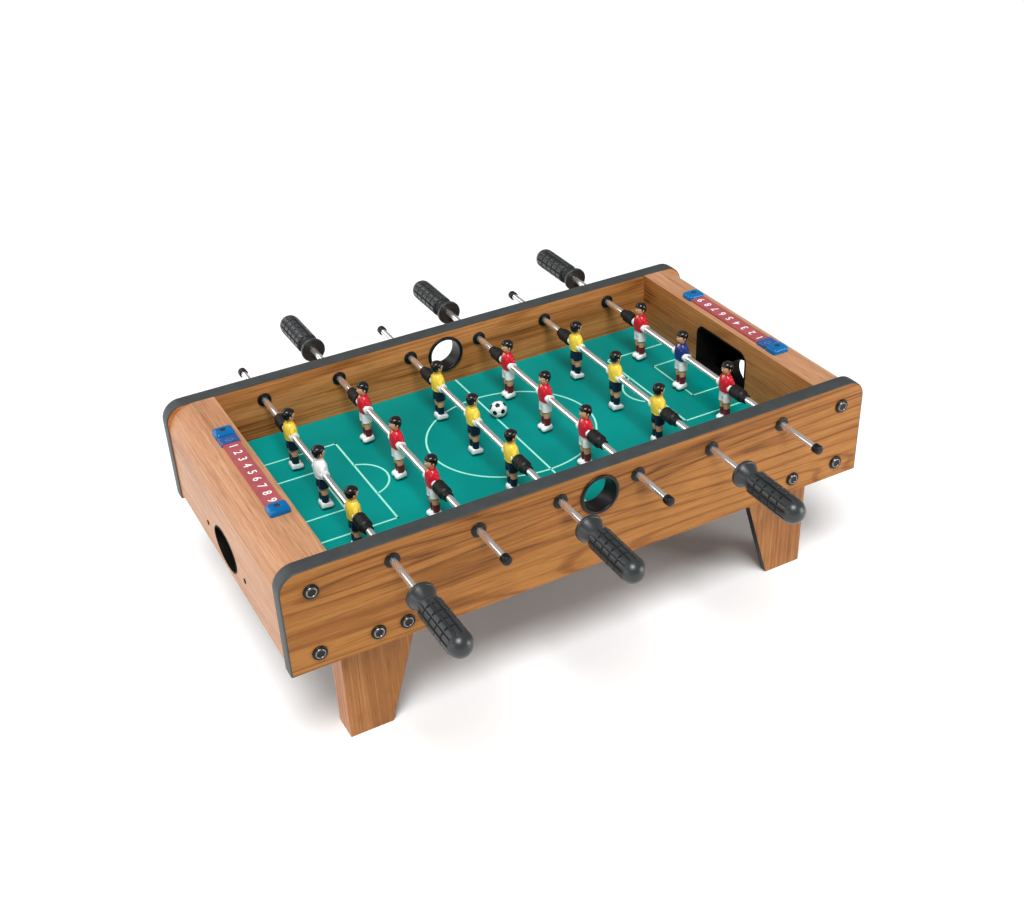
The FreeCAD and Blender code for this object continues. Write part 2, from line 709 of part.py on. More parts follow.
def bumpers():
    """Two rubber stops outside the end players, each with a neck towards the wall."""
    bore = ROD_RADIUS + RUNNING_GAP
    shoulder = BUMPER_START + BUMPER_BODY_LENGTH
    made = turned([
        (bore, BUMPER_START), (BUMPER_RADIUS - BUMPER_BEVEL, BUMPER_START),
        (BUMPER_RADIUS, BUMPER_START + BUMPER_BEVEL), (BUMPER_RADIUS, shoulder),
        (BUMPER_NECK_RADIUS, shoulder + BUMPER_BEVEL), (BUMPER_NECK_RADIUS, BUMPER_END),
        (bore, BUMPER_END),
    ])
    return [made, mirrored_y(made)]


def soft_block(low, high, radius):
    """A box with rounded upright edges."""
    box = block(low, high)
    upright = [
        edge for edge in box.Edges
        if abs(edge.Vertexes[0].Z - edge.Vertexes[1].Z) > 1
    ]
    return box.makeFillet(radius, upright)


def body_block(box, radius):
    """An upright box with rounded corners from half depth, half width, low and high."""
    half_depth, half_width, low, high = box
    return soft_block((-half_depth, -half_width, low), (half_depth, half_width, high), radius)


def player():
    """One player facing minus X, with the rod along Y through the waist."""
    torso = body_block(TORSO_BOX, TORSO_RADIUS)
    shorts = body_block(SHORTS_BOX, SHORTS_RADIUS)
    legs = body_block(LEGS_BOX, LEGS_RADIUS)
    neck = Part.makeCylinder(NECK_RADIUS, NECK_HIGH - NECK_LOW, vec(0, 0, NECK_LOW))
    head = Part.makeSphere(HEAD_RADIUS, vec(0, 0, HEAD_HEIGHT))
    hub = rod_of(HUB_RADIUS, vec(0, -PLAYER_HUB_HALF, 0), 2 * PLAYER_HUB_HALF, Y_AXIS)
    boots = prism_y(polygon_xz(BOOT_OUTLINE), -BOOT_HALF_WIDTH, BOOT_HALF_WIDTH)
    figure = torso.fuse([shorts, legs, neck, head, hub, boots])
    bore = rod_of(ROD_RADIUS + RUNNING_GAP, vec(0, -PLAYER_HUB_HALF - 1, 0),
                  2 * PLAYER_HUB_HALF + 2, Y_AXIS)
    return figure.cut(bore)


def players():
    one = player()
    return [moved(one, y=step * PLAYER_PITCH) for step in (-1, 0, 1)]


def on_rod(shapes, index):
    """Puts shapes made about the Y axis on a rod of the table.

    They are made with the handle to the rear and the players facing minus X.
    Rods 1, 3 and 5 are the same set turned half round.
    """
    facing_right = index % 2 == 0
    placed = []
    for shape in shapes:
        item = half_turn(shape) if facing_right else shape
        placed.append(moved(item, ROD_XS[index], ROD_REST_SHIFT[index], ROD_HEIGHT))
    return placed


# ---------------------------------------------------------------- scorers

def scorer_strip():
    """The flat rail that carries the numbers, centred on the origin."""
    half_width = SCORER_STRIP_WIDTH / 2
    half_length = SCORER_LENGTH / 2 - SCORER_CAP_LENGTH + SCORER_CAP_OVERLAP
    return block((-half_width, -half_length, 0), (half_width, half_length, SCORER_STRIP_HEIGHT))


def rounded_top_block(width, length, height):
    """A block with rounded upright corners and a rounded top edge, centred on x and y."""
    body = soft_block((-width / 2, -length / 2, 0), (width / 2, length / 2, height),
                      SCORER_CORNER_RADIUS)
    top = [edge for edge in body.Edges if all(v.Z > height - 0.1 for v in edge.Vertexes)]
    return body.makeFillet(SCORER_EDGE_RADIUS, top)


def scorer_caps():
    """The two end blocks of a scorer, each with a pocket for the rail and a screw hole."""
    reach = SCORER_LENGTH / 2 - SCORER_CAP_LENGTH / 2
    block_shape = rounded_top_block(SCORER_CAP_WIDTH, SCORER_CAP_LENGTH, SCORER_CAP_HEIGHT)
    cap = moved(block_shape, y=reach)
    screw_y = SCORER_LENGTH / 2 - SCORER_SCREW_INSET
    hole = Part.makeCylinder(SCREW_HOLE_RADIUS, SCORER_CAP_HEIGHT + 2, vec(0, screw_y, -1))
    seat_z = SCORER_CAP_HEIGHT - SCORER_SEAT_DEPTH
    seat = Part.makeCylinder(SCREW_HEAD_RADIUS, SCORER_SEAT_DEPTH + 1, vec(0, screw_y, seat_z))
    made = cap.cut([scorer_strip(), hole, seat])
    return [made, half_turn(made)]


def scorer_slider():
    """The marker that runs along the rail: a saddle that shows one number through its roof."""
    length = SLIDER_LENGTH
    reach = SCORER_LENGTH / 2 - SCORER_CAP_LENGTH - SLIDER_GAP - length / 2
    width = SCORER_CAP_WIDTH - 2 * SLIDER_GAP
    body = rounded_top_block(width, length, SLIDER_HEIGHT)
    half_width = SCORER_STRIP_WIDTH / 2 + SLIDER_GAP
    channel = block((-half_width, -length, -1),
                    (half_width, length, SCORER_STRIP_HEIGHT + SLIDER_GAP))
    foot = block((-width, -length, -1), (width, length, SLIDER_GAP))
    return moved(body.cut([channel, foot]), y=reach)


def scorer_screws():
    """Four screws that hold the scorers' end blocks to the covers."""
    top = COVER_TOP + SCORER_CAP_HEIGHT - SCORER_SEAT_DEPTH
    low_z = COVER_UNDERSIDE + 1
    screws = []
    for x in (-SCORER_X, SCORER_X):
        for y in scorer_screw_ys():
            shaft = Part.makeCylinder(SCREW_RADIUS, top - low_z + 0.5, vec(x, y, low_z))
            head = Part.makeCylinder(SCREW_HEAD_RADIUS - HOLE_CLEARANCE, SCREW_SEAT_DEPTH,
                                     vec(x, y, top))
            screws.append(shaft.fuse(head))
    return screws


def on_shelf(shape, side):
    """Puts a scorer part on an end cover. The right scorer is turned half round."""
    if side == "left":
        return moved(shape, -SCORER_X, 0, COVER_TOP)
    return moved(half_turn(shape), SCORER_X, 0, COVER_TOP)


# ---------------------------------------------------------------- writing

def save(name, shapes):
    """Writes one sub-part. A list of solids becomes one group."""
    solids = shapes if isinstance(shapes, list) else [shapes]
    for solid in solids:
        if not solid.isValid() or solid.Volume <= 0:
            raise ValueError(f"{name} has a bad solid")
    shape = solids[0] if len(solids) == 1 else Part.makeCompound(solids)
    shape.exportStep(os.path.join("parts", name + ".step"))


def save_box():
    save("rear_side_panel", rear_panel())
    save("front_side_panel", mirrored_y(rear_panel()))
    save("rear_edge_band", rear_edge_band())
    save("front_edge_band", mirrored_y(rear_edge_band()))
    save("playfield", playfield())
    save("right_end_wall", right_end_wall())
    save("left_end_wall", mirrored_x(right_end_wall()))
    save("right_end_cover", right_end_cover())
    save("left_end_cover", mirrored_x(right_end_cover()))
    save("right_goal_box", right_goal())
    save("left_goal_box", [mirrored_x(piece) for piece in right_goal()])
    save("end_corner_blocks", end_corner_blocks())


def save_hardware():
    save("rod_bushings", rod_bushings())
    save("ball_drop_rings", ball_drop_rings())
    save("panel_bolts", panel_bolts())
    save("bolt_cups", bolt_cups())
    save("leg_nuts", leg_nuts())
    save("cover_screws", cover_screws())
    save("scorer_screws", scorer_screws())


def save_legs():
    leg = rear_right_leg()
    save("rear_right_leg", leg)
    save("rear_left_leg", [mirrored_x(board) for board in leg])
    save("front_right_leg", [mirrored_y(board) for board in leg])
    save("front_left_leg", [mirrored_x(mirrored_y(board)) for board in leg])


def save_rods():
    sets = {
        "rod": [rod()],
        "handle": [handle()],
        "rod_cap": [rod_cap()],
        "bumpers": bumpers(),
        "players": players(),
    }
    for index in range(len(ROD_XS)):
        for name, shapes in sets.items():
            save(f"{name}_{index + 1}", on_rod(shapes, index))


def save_scorers():
    for side in ("left", "right"):
        save(f"{side}_scorer_strip", on_shelf(scorer_strip(), side))
        save(f"{side}_scorer_caps", [on_shelf(cap, side) for cap in scorer_caps()])
        save(f"{side}_scorer_slider", on_shelf(scorer_slider(), side))


def save_ball():
    save("ball", Part.makeSphere(BALL_RADIUS, vec(BALL_X, BALL_Y, FIELD_TOP + BALL_RADIUS)))


os.makedirs("parts", exist_ok=True)
save_box()
save_hardware()
save_legs()
save_rods()
save_scorers()
save_ball()
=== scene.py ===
"""Looks for the tabletop foosball table, built round its CAD frame.

Everything is in metres, in the frame's own axes: +X along the table, +Y to the rear, +Z up.
Small shapes are written in millimetres and scaled by MM when their mesh is made. Profiles that
are turned about the Y axis are lists of (radius, y).
"""

import math

import bmesh
import bpy
from mathutils import Matrix, Vector


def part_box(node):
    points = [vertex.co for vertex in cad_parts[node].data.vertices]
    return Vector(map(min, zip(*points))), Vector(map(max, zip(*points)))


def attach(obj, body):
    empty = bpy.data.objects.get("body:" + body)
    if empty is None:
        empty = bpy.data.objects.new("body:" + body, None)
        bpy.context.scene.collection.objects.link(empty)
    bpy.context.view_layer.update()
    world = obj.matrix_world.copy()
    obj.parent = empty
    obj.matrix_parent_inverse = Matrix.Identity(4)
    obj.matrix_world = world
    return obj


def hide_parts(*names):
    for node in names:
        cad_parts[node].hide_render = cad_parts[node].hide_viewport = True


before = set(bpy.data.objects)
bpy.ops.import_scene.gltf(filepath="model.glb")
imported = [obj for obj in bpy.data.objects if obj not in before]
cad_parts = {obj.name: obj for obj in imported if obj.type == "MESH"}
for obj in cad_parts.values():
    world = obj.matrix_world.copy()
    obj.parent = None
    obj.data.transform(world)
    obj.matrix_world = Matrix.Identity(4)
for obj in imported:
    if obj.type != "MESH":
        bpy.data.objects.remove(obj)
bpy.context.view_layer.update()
MM = 0.001
RODS = range(1, 7)
HALF_TURN = Matrix.Rotation(math.pi, 4, "Z")
MERGE_DISTANCE = 1e-7
SHARP_ANGLE = math.radians(40)

LEFT_RIGHT = ("left", "right")
FRONT_REAR = ("front", "rear")
SQUARE = ((-1, -1), (1, -1), (1, 1), (-1, 1))
X, Y, Z = range(3)

# Radii in millimetres: the rods, the holes that take them, and where a turned solid closes.
ROD_RADIUS = 3.75
BORE = 3.85
TIP = 0.01


def odd(number):
    """Odd rods have their handle at the front and players that face +X."""
    return number % 2 == 1


# -------- mesh helpers

class Shells:
    """Closed shells in millimetres, each with a material number, that become one mesh."""

    def __init__(self):
        self.verts = []
        self.faces = []
        self.numbers = []

    def add(self, verts, faces, number=0):
        start = len(self.verts)
        self.verts += [tuple(v) for v in verts]
        self.faces += [[start + i for i in face] for face in faces]
        self.numbers += [number] * len(faces)
        return self

    def loft(self, rings, number=0, closed=False):
        """Joins rings of the same number of points; open lofts get a cap at each end."""
        count = len(rings[0])
        verts = [point for ring in rings for point in ring]
        faces = []
        spans = len(rings) if closed else len(rings) - 1
        for step in range(spans):
            low = step * count
            high = ((step + 1) % len(rings)) * count
            for i in range(count):
                j = (i + 1) % count
                faces.append([low + i, low + j, high + j, high + i])
        if not closed:
            faces.append(list(range(count))[::-1])
            faces.append([len(verts) - count + i for i in range(count)])
        return self.add(verts, faces, number)

    def ellipsoid(self, centre, radii, number, count, rows):
        """An egg shape from rings about the Z axis."""
        rings = []
        for row in range(1, rows):
            angle = math.pi * row / rows
            spread = math.sin(angle)
            z = centre[2] - radii[2] * math.cos(angle)
            rings.append(oval(centre[0], centre[1], z, radii[0] * spread, radii[1] * spread,
                              count=count))
        return self.loft(rings, number)

    def tube(self, points, radii, number, count=18):
        """A round bar through points, with its own radius at each."""
        path = [Vector(p) for p in points]
        rings = []
        for index, point in enumerate(path):
            before = path[max(index - 1, 0)]
            after = path[min(index + 1, len(path) - 1)]
            turn = (after - before).normalized().to_track_quat("Z", "Y")
            ring = [turn @ Vector(p) * radii[index] for p in oval(0, 0, 0, 1, 1, count=count)]
            rings.append([point + p for p in ring])
        return self.loft(rings, number)

    def lathe(self, profile, number=0, count=48, closed=False):
        """Turns (radius, y) pairs about the Y axis. A closed profile makes a ring."""
        rings = [circle(radius, y, count) for radius, y in profile]
        return self.loft(rings, number, closed)

    def mesh(self):
        """The mesh, scaled to metres, smooth, with outward faces and sharp edges kept."""
        made = bpy.data.meshes.new("shells")
        scaled = [tuple(c * MM for c in vert) for vert in self.verts]
        made.from_pydata(scaled, [], self.faces)
        made.polygons.foreach_set("material_index", self.numbers)
        tidy(made)
        return made


def tidy(mesh):
    """Merges doubled points, turns faces outward and shades smooth below the sharp angle."""
    work = bmesh.new()
    work.from_mesh(mesh)
    bmesh.ops.remove_doubles(work, verts=work.verts, dist=MERGE_DISTANCE)
    bmesh.ops.recalc_face_normals(work, faces=work.faces)
    for face in work.faces:
        face.smooth = True
    for edge in work.edges:
        if len(edge.link_faces) == 2:
            edge.smooth = edge.calc_face_angle(0.0) < SHARP_ANGLE
    work.to_mesh(mesh)
    work.free()


def oval(x, y, z, radius_x, radius_y, power=2.0, count=28):
    """A level ring of points; a power above 2 makes it squarer."""
    points = []
    for step in range(count):
        angle = 2 * math.pi * step / count
        c = math.cos(angle)
        s = math.sin(angle)
        grow = (abs(c) ** power + abs(s) ** power) ** (-1 / power)
        points.append((x + radius_x * c * grow, y + radius_y * s * grow, z))
    return points


def circle(radius, y, count):
    """A ring of points about the Y axis."""
    angles = [2 * math.pi * step / count for step in range(count)]
    return [(radius * math.cos(a), y, radius * math.sin(a)) for a in angles]


def arc_points(centre, radius, start, end, steps):
    """Points on an arc, with angles in degrees, ends included."""
    angles = [math.radians(start + (end - start) * i / steps) for i in range(steps + 1)]
    return [(centre[0] + radius * math.cos(a), centre[1] + radius * math.sin(a)) for a in angles]


def joined(meshes):
    """Several meshes as one; the separate ones are removed."""
    work = bmesh.new()
    for mesh in meshes:
        work.from_mesh(mesh)
        bpy.data.meshes.remove(mesh)
    made = bpy.data.meshes.new("joined")
    work.to_mesh(made)
    work.free()
    return made


def copies(mesh, places):
    """One mesh that holds a copy of another at every place."""
    parts = [mesh.copy() for _ in places]
    for part, place in zip(parts, places):
        part.transform(place)
    return joined(parts)


def middle_of(node):
    """The middle of a node's box, in metres."""
    low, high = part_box(node)
    return (low + high) / 2


def put(name, mesh, body, materials, replaced=(), place=None):
    """Makes a piece that rides on a body and stands for some CAD nodes."""
    mesh.name = name
    piece = bpy.data.objects.new(name, mesh)
    bpy.context.scene.collection.objects.link(piece)
    if not mesh.materials:
        for material in materials:
            mesh.materials.append(material)
    if place is not None:
        piece.matrix_world = place
    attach(piece, body)
    if replaced:
        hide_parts(*replaced)


def cut_out(mesh, tool):
    """The mesh with a tool's shape cut out of it."""
    scene = bpy.context.scene.collection
    base = bpy.data.objects.new("cut_base", mesh)
    knife = bpy.data.objects.new("cut_knife", tool)
    scene.objects.link(base)
    scene.objects.link(knife)
    modifier = base.modifiers.new("cut", "BOOLEAN")
    modifier.object = knife
    modifier.operation = "DIFFERENCE"
    modifier.solver = "EXACT"
    graph = bpy.context.evaluated_depsgraph_get()
    made = bpy.data.meshes.new_from_object(base.evaluated_get(graph))
    bpy.data.objects.remove(base)
    bpy.data.objects.remove(knife)
    tidy(made)
    return made


# -------- material helpers

class Paint:
    """A node material with short calls for the nodes used here."""

    def __init__(self, name, specular=0.5, metallic=0.0, alpha=1.0):
        self.material = bpy.data.materials.new(name)
        self.material.use_nodes = True
        self.tree = self.material.node_tree
        self.shader = self.tree.nodes["Principled BSDF"]
        self.shader.inputs["Specular IOR Level"].default_value = specular
        self.shader.inputs["Metallic"].default_value = metallic
        self.shader.inputs["Alpha"].default_value = alpha

    def node(self, kind, inputs=(), **settings):
        made = self.tree.nodes.new(kind)
        for name, value in settings.items():
            setattr(made, name, value)
        for key, value in dict(inputs).items():
            self.feed(made.inputs[key], value)
        return made

    def feed(self, socket, value):
        if isinstance(value, bpy.types.NodeSocket):
            self.tree.links.new(value, socket)
        else:
            socket.default_value = value

    def place(self, scale=(1, 1, 1), shift=(0, 0, 0)):
        """The piece's own coordinates, in metres, stretched by a scale."""
        coordinates = self.node("ShaderNodeTexCoord")
        return self.node("ShaderNodeMapping", {
            "Vector": coordinates.outputs["Object"], "Scale": scale, "Location": shift,
        }).outputs["Vector"]

    def noise(self, vector, scale, detail, rough=0.5, warp=0.0):
        return self.node("ShaderNodeTexNoise", {
            "Vector": vector, "Scale": scale, "Detail": detail,
            "Roughness": rough, "Distortion": warp,
        }).outputs["Fac"]

    def maths(self, kind, *values):
        return self.node("ShaderNodeMath", dict(enumerate(values)), operation=kind).outputs[0]

    def ramp(self, value, *stops):
        """A colour ramp. Each stop is (position, colour or grey level)."""
        made = self.node("ShaderNodeValToRGB", {"Fac": value})
        band = made.color_ramp
        band.interpolation = "EASE"
        while len(band.elements) < len(stops):
            band.elements.new(0.5)
        for element, (position, level) in zip(band.elements, stops):
            element.position = position
            element.color = (*level, 1) if isinstance(level, tuple) else (level, level, level, 1)
        return made.outputs["Color"]

    def blend(self, factor, a, b, kind="MIX"):
        made = self.node("ShaderNodeMix", data_type="RGBA", blend_type=kind)
        for index, value in ((0, factor), (6, a), (7, b)):
            if isinstance(value, tuple):
                value = (*value, 1)
            self.feed(made.inputs[index], value)
        return made.outputs[2]

    def colour(self, value):
        self.feed(self.shader.inputs["Base Color"], value)

    def rough(self, value, low, high):
        """Roughness that moves between two levels with a value."""
        level = self.node("ShaderNodeMapRange", {
            "Value": value, "To Min": low, "To Max": high,
        }).outputs["Result"]
        self.feed(self.shader.inputs["Roughness"], level)

    def bump(self, height, distance, strength=1.0):
        made = self.node("ShaderNodeBump", {
            "Height": height, "Distance": distance, "Strength": strength,
        })
        self.feed(self.shader.inputs["Normal"], made.outputs["Normal"])


def rgb(*levels):
    """A colour given as 0 to 255 screen values, in the linear values that shaders use."""
    return tuple(((c / 255 + 0.055) / 1.055) ** 2.4 if c > 10 else c / 3294 for c in levels)


def moulded(name, colour, low, high, grain=0.00003, scale=900.0, vary=0.12, specular=0.5,
            alpha=1.0):
    """Moulded plastic, rubber or paint: faint mottling, fine grain, uneven gloss."""
    paint = Paint(name, specular, alpha=alpha)
    place = paint.place()
    patches = paint.noise(place, 60.0, 3.0)
    dark = tuple(c * (1 - vary) for c in rgb(*colour))
    light = tuple(min(c * (1 + vary) + 0.003 * vary, 1) for c in rgb(*colour))
    paint.colour(paint.ramp(patches, (0.3, dark), (0.7, light)))
    fine = paint.noise(place, scale, 2.0)
    smudges = paint.noise(place, 120.0, 4.0, 0.6)
    paint.rough(smudges, low, high)
    paint.bump(fine, grain)
    return paint.material


def metal(name, colour, low, high, streaks, tint, shine=1.0):
    """Plated or brushed steel, with fine streaks whose stretch is given by a scale."""
    paint = Paint(name, metallic=shine)
    lines = paint.noise(paint.place(streaks), 1.0, 4.0, 0.6)
    cloud = paint.noise(paint.place(), 45.0, 3.0)
    dark = tuple(c * (1 - tint) for c in colour)
    paint.colour(paint.ramp(cloud, (0.3, dark), (0.7, colour)))
    paint.rough(lines, low, high)
    paint.bump(lines, 0.000006, 0.5)
    return paint.material


def wood(name, dark, middle, light, axis, rings, shift, flow=(1.4, 11.0), streak=0.55):
    """A printed wood grain that runs along an axis.

    The growth lines are contours of a slow noise, stretched along the grain by flow. A higher
    streak shows more of the straight fibres and less of the growth lines.
    """
    paint = Paint(name, specular=0.22)

    def stretched(along, across):
        scale = [across, across, across]
        scale[axis] = along
        return paint.place(scale, shift)

    slow = paint.noise(stretched(*flow), 1.0, 1.6, 0.45, 0.25)
    wave = paint.maths("SINE", paint.maths("MULTIPLY", slow, rings * 2 * math.pi))
    contour = paint.maths("MULTIPLY_ADD", wave, 0.5, 0.5)
    streaks = paint.noise(stretched(5.0, 360.0), 1.0, 3.0, 0.6)
    pores = paint.noise(stretched(38.0, 1500.0), 1.0, 2.0)
    cloud = paint.noise(stretched(2.5, 16.0), 1.0, 2.0)
    growth = paint.ramp(contour, (0.0, 0.2), (0.08, 0.5), (0.22, 0.85), (1.0, 1.0))
    fibre = paint.ramp(streaks, (0.28, 0.0), (0.72, 1.0))
    tone = paint.blend(streak, growth, fibre)
    tone = paint.blend(0.22, tone, paint.ramp(cloud, (0.25, 0.2), (0.75, 1.0)))
    base = paint.ramp(tone, (0.12, rgb(*dark)), (0.5, rgb(*middle)), (0.88, rgb(*light)))
    specks = paint.ramp(pores, (0.34, 0.5), (0.48, 1.0))
    paint.colour(paint.blend(0.6, base, specks, "MULTIPLY"))
    paint.rough(fibre, 0.5, 0.34)
    paint.bump(pores, 0.00004, 0.35)
    return paint.material


# -------- camera, light, floor

CAMERA_PLACE = (-0.5924, -1.1394, 0.9812)
# Degrees: round from the front, above the floor, and about the line of sight.
CAMERA_AZIMUTH = -27.393
CAMERA_ELEVATION = 32.761
CAMERA_ROLL = -2.502
CAMERA_LENS = 46.95


def make_camera():
    """The viewing angle: from the front left and above."""
    camera = bpy.data.cameras.new("camera")
    camera.lens = CAMERA_LENS
    camera.sensor_width = 36.0
    camera.clip_start = 0.01
    camera.clip_end = 50.0
    eye = bpy.data.objects.new("camera", camera)
    eye.matrix_world = (Matrix.Translation(CAMERA_PLACE)
                        @ Matrix.Rotation(math.radians(CAMERA_AZIMUTH), 4, "Z")
                        @ Matrix.Rotation(math.radians(90 - CAMERA_ELEVATION), 4, "X")
                        @ Matrix.Rotation(math.radians(CAMERA_ROLL), 4, "Z"))
    bpy.context.scene.collection.objects.link(eye)
    bpy.context.scene.camera = eye


WORLD_STRENGTH = 0.26
SUN_STRENGTH = 3.05
SUN_SPREAD = math.radians(28)
SUN_TRAVEL = Vector((0.22, 0.38, -0.90))
# Soft boxes as (name, place, target, size, power); the back ones are seen in the steel rods.
SOFT_BOXES = (
    ("front_right", (1.1, -1.15, 0.42), (0.22, -0.1, 0.12), (0.6, 0.5), 9.0),
    ("left", (-1.6, -0.4, 0.5), (0, -0.05, 0.16), (1.0, 0.5), 3.6),
    ("back_strip", (-1.5, 1.8, 1.5), (-0.1, 0.0, 0.2), (3.4, 0.5), 15.0),
    ("back_left", (-1.75, 1.7, 0.6), (-0.1, 0.0, 0.2), (1.1, 0.8), 7.0),
)


def place_lamp(lamp, place, travel):
    """Puts a lamp in the scene so that its light leaves in the direction of travel."""
    holder = bpy.data.objects.new(lamp.name, lamp)
    bpy.context.scene.collection.objects.link(holder)
    turn = travel.to_track_quat("-Z", "Y").to_matrix().to_4x4()
    holder.matrix_world = Matrix.Translation(place) @ turn


def make_lights():
    world = bpy.data.worlds.new("studio")
    world.use_nodes = True
    background = world.node_tree.nodes["Background"]
    background.inputs["Color"].default_value = (1.0, 1.0, 1.0, 1)
    background.inputs["Strength"].default_value = WORLD_STRENGTH
    bpy.context.scene.world = world
    sun = bpy.data.lights.new("overhead", "SUN")
    sun.energy = SUN_STRENGTH
    sun.angle = SUN_SPREAD
    place_lamp(sun, (0, 0, 0), SUN_TRAVEL)
    for name, place, target, size, power in SOFT_BOXES:
        lamp = bpy.data.lights.new(name, "AREA")
        lamp.shape = "RECTANGLE"
        lamp.size, lamp.size_y = size
        lamp.energy = power
        place_lamp(lamp, place, Vector(target) - Vector(place))


FLOOR_HALF = 6.0


def make_floor():
    """A plain pale floor."""
    mesh = bpy.data.meshes.new("floor")
    corners = [(x * FLOOR_HALF, y * FLOOR_HALF, 0) for x, y in SQUARE]
    mesh.from_pydata(corners, [], [(0, 1, 2, 3)])
    paint = Paint("floor_white")
    patches = paint.noise(paint.place(), 3.0, 2.0)
    paint.colour(paint.ramp(patches, (0.3, 0.91), (0.7, 0.93)))
    paint.rough(patches, 0.75, 0.85)
    mesh.materials.append(paint.material)
    floor = bpy.data.objects.new("floor", mesh)
    bpy.context.scene.collection.objects.link(floor)


# -------- palette

PANEL = wood("panel_wood", (84, 46, 14), (139, 85, 32), (166, 110, 51),
             X, rings=28.0, flow=(1.1, 11.0), shift=(3.1, 0.4, 0.2), streak=0.4)
# Painted light: the panel wood made lighter for the panels' inward faces, standing in for light
# on the inner walls.
SIDE_INNER_LIT = wood("side_inner_painted_light_wood", (116, 62, 26), (180, 113, 57), (208, 141, 82),
                  X, rings=13.0, flow=(1.2, 12.0), shift=(0.7, 0.2, 0.6), streak=0.5)
# Also put on the end covers' inward cut edges, as painted shade there.
END_INNER = wood("end_inner_wood", (112, 64, 30), (172, 108, 56), (196, 132, 76),
                 Y, rings=8.0, shift=(1.4, 0.7, 0.3))
COVER = wood("end_wood", (165, 113, 78), (184, 132, 95), (197, 148, 111),
             Y, rings=5.0, flow=(1.6, 7.0), shift=(0.3, 1.7, 0.9), streak=0.7)
LEG = wood("leg_wood", (104, 62, 28), (144, 92, 46), (168, 114, 64),
           Z, rings=6.0, shift=(2.3, 0.1, 0.7))
# Painted light: the leg wood made paler for the legs' outward faces, standing in for the side
# light that falls on them.
LEG_SIDE_LIT = wood("leg_side_painted_light_wood", (154, 92, 54), (186, 124, 82), (202, 143, 102),
                Z, rings=4.0, shift=(0.2, 0.9, 0.4), streak=0.7)
RAW = wood("raw_softwood", (176, 140, 92), (206, 172, 124), (222, 192, 148),
           Z, rings=6.0, shift=(0.6, 0.2, 0.1))
HARDBOARD = moulded("brown_hardboard", (92, 66, 42), 0.7, 0.85, grain=0.00008, scale=500.0)
TRIM = moulded("edge_trim", (60, 63, 63), 0.42, 0.55, vary=0.10, specular=0.3)
BLACK = moulded("black_plastic", (14, 14, 14), 0.30, 0.45, specular=0.3)
DULL_BLACK = moulded("dull_black", (13, 11, 10), 0.55, 0.7, specular=0.08)
GRIP = moulded("grip_black", (44, 47, 48), 0.26, 0.40, grain=0.00004, scale=1400.0)
RUBBER = moulded("black_rubber", (14, 14, 14), 0.42, 0.58, grain=0.00005, specular=0.35)
CHROME = metal("rod_steel", (0.90, 0.89, 0.87), 0.13, 0.24, (900.0, 12.0, 900.0), tint=0.04,
               shine=0.85)
BOLT = metal("bolt_steel", (0.25, 0.24, 0.23), 0.24, 0.38, (500.0, 500.0, 500.0), tint=0.25)
BLUE = moulded("scorer_blue", (0, 100, 160), 0.14, 0.24, vary=0.10, specular=0.25)
CLEAR_BLUE = moulded("slider_blue", (0, 104, 176), 0.06, 0.12, vary=0.06, alpha=0.48)
RED_RAIL = moulded("scorer_red", (166, 78, 82), 0.3, 0.42, vary=0.10)
PRINT = moulded("white_print", (250, 246, 246), 0.4, 0.5, vary=0.03)
LINE = moulded("line_print", (158, 236, 216), 0.4, 0.5, vary=0.05, specular=0.3)
WHITE_PLASTIC = moulded("white_plastic", (238, 242, 242), 0.26, 0.38, vary=0.04)
SKIN = moulded("skin_paint", (222, 166, 122), 0.30, 0.42, vary=0.06)
HAIR = moulded("hair_paint", (18, 15, 15), 0.16, 0.28, grain=0.00012, scale=1300.0)
YELLOW = moulded("shirt_yellow", (242, 210, 66), 0.28, 0.4, vary=0.07)
RED = moulded("shirt_red", (200, 22, 44), 0.24, 0.36, vary=0.10)
NAVY = moulded("navy_paint", (18, 20, 52), 0.26, 0.38, vary=0.15)
ROYAL = moulded("keeper_blue", (26, 46, 118), 0.26, 0.38)
MAROON = moulded("maroon_paint", (116, 12, 26), 0.26, 0.38)
EYE = moulded("eye_paint", (30, 22, 18), 0.2, 0.3, vary=0.1)
LIP = moulded("lip_paint", (176, 92, 76), 0.35, 0.45, vary=0.08)


def field_green():
    """The printed playfield: teal green with a faint mottle and a satin coat."""
    paint = Paint("field_green", specular=0.08)
    cloud = paint.noise(paint.place(), 7.0, 3.0)
    paint.colour(paint.ramp(cloud, (0.3, rgb(0, 128, 121)), (0.7, rgb(0, 144, 137))))
    fine = paint.noise(paint.place(), 700.0, 2.0)
    paint.rough(cloud, 0.34, 0.46)
    paint.bump(fine, 0.00002, 0.5)
    return paint.material


FIELD = field_green()


def paint_node(node, material):
    """Gives a CAD node a material in place of its own."""
    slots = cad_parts[node].data.materials
    slots.clear()
    slots.append(material)


INWARD, OUTWARD = -1, 1


def paint_faces(node, material, axis, way):
    """Paints the flat faces of a CAD node that look along an axis, inward or outward."""
    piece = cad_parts[node]
    piece.data.materials.append(material)
    number = len(piece.data.materials) - 1
    turn = piece.matrix_world.to_3x3()
    for face in piece.data.polygons:
        side = math.copysign(1, (piece.matrix_world @ face.center)[axis])
        if (turn @ face.normal)[axis] * side * way > 0.9:
            face.material_index = number


# -------- boards

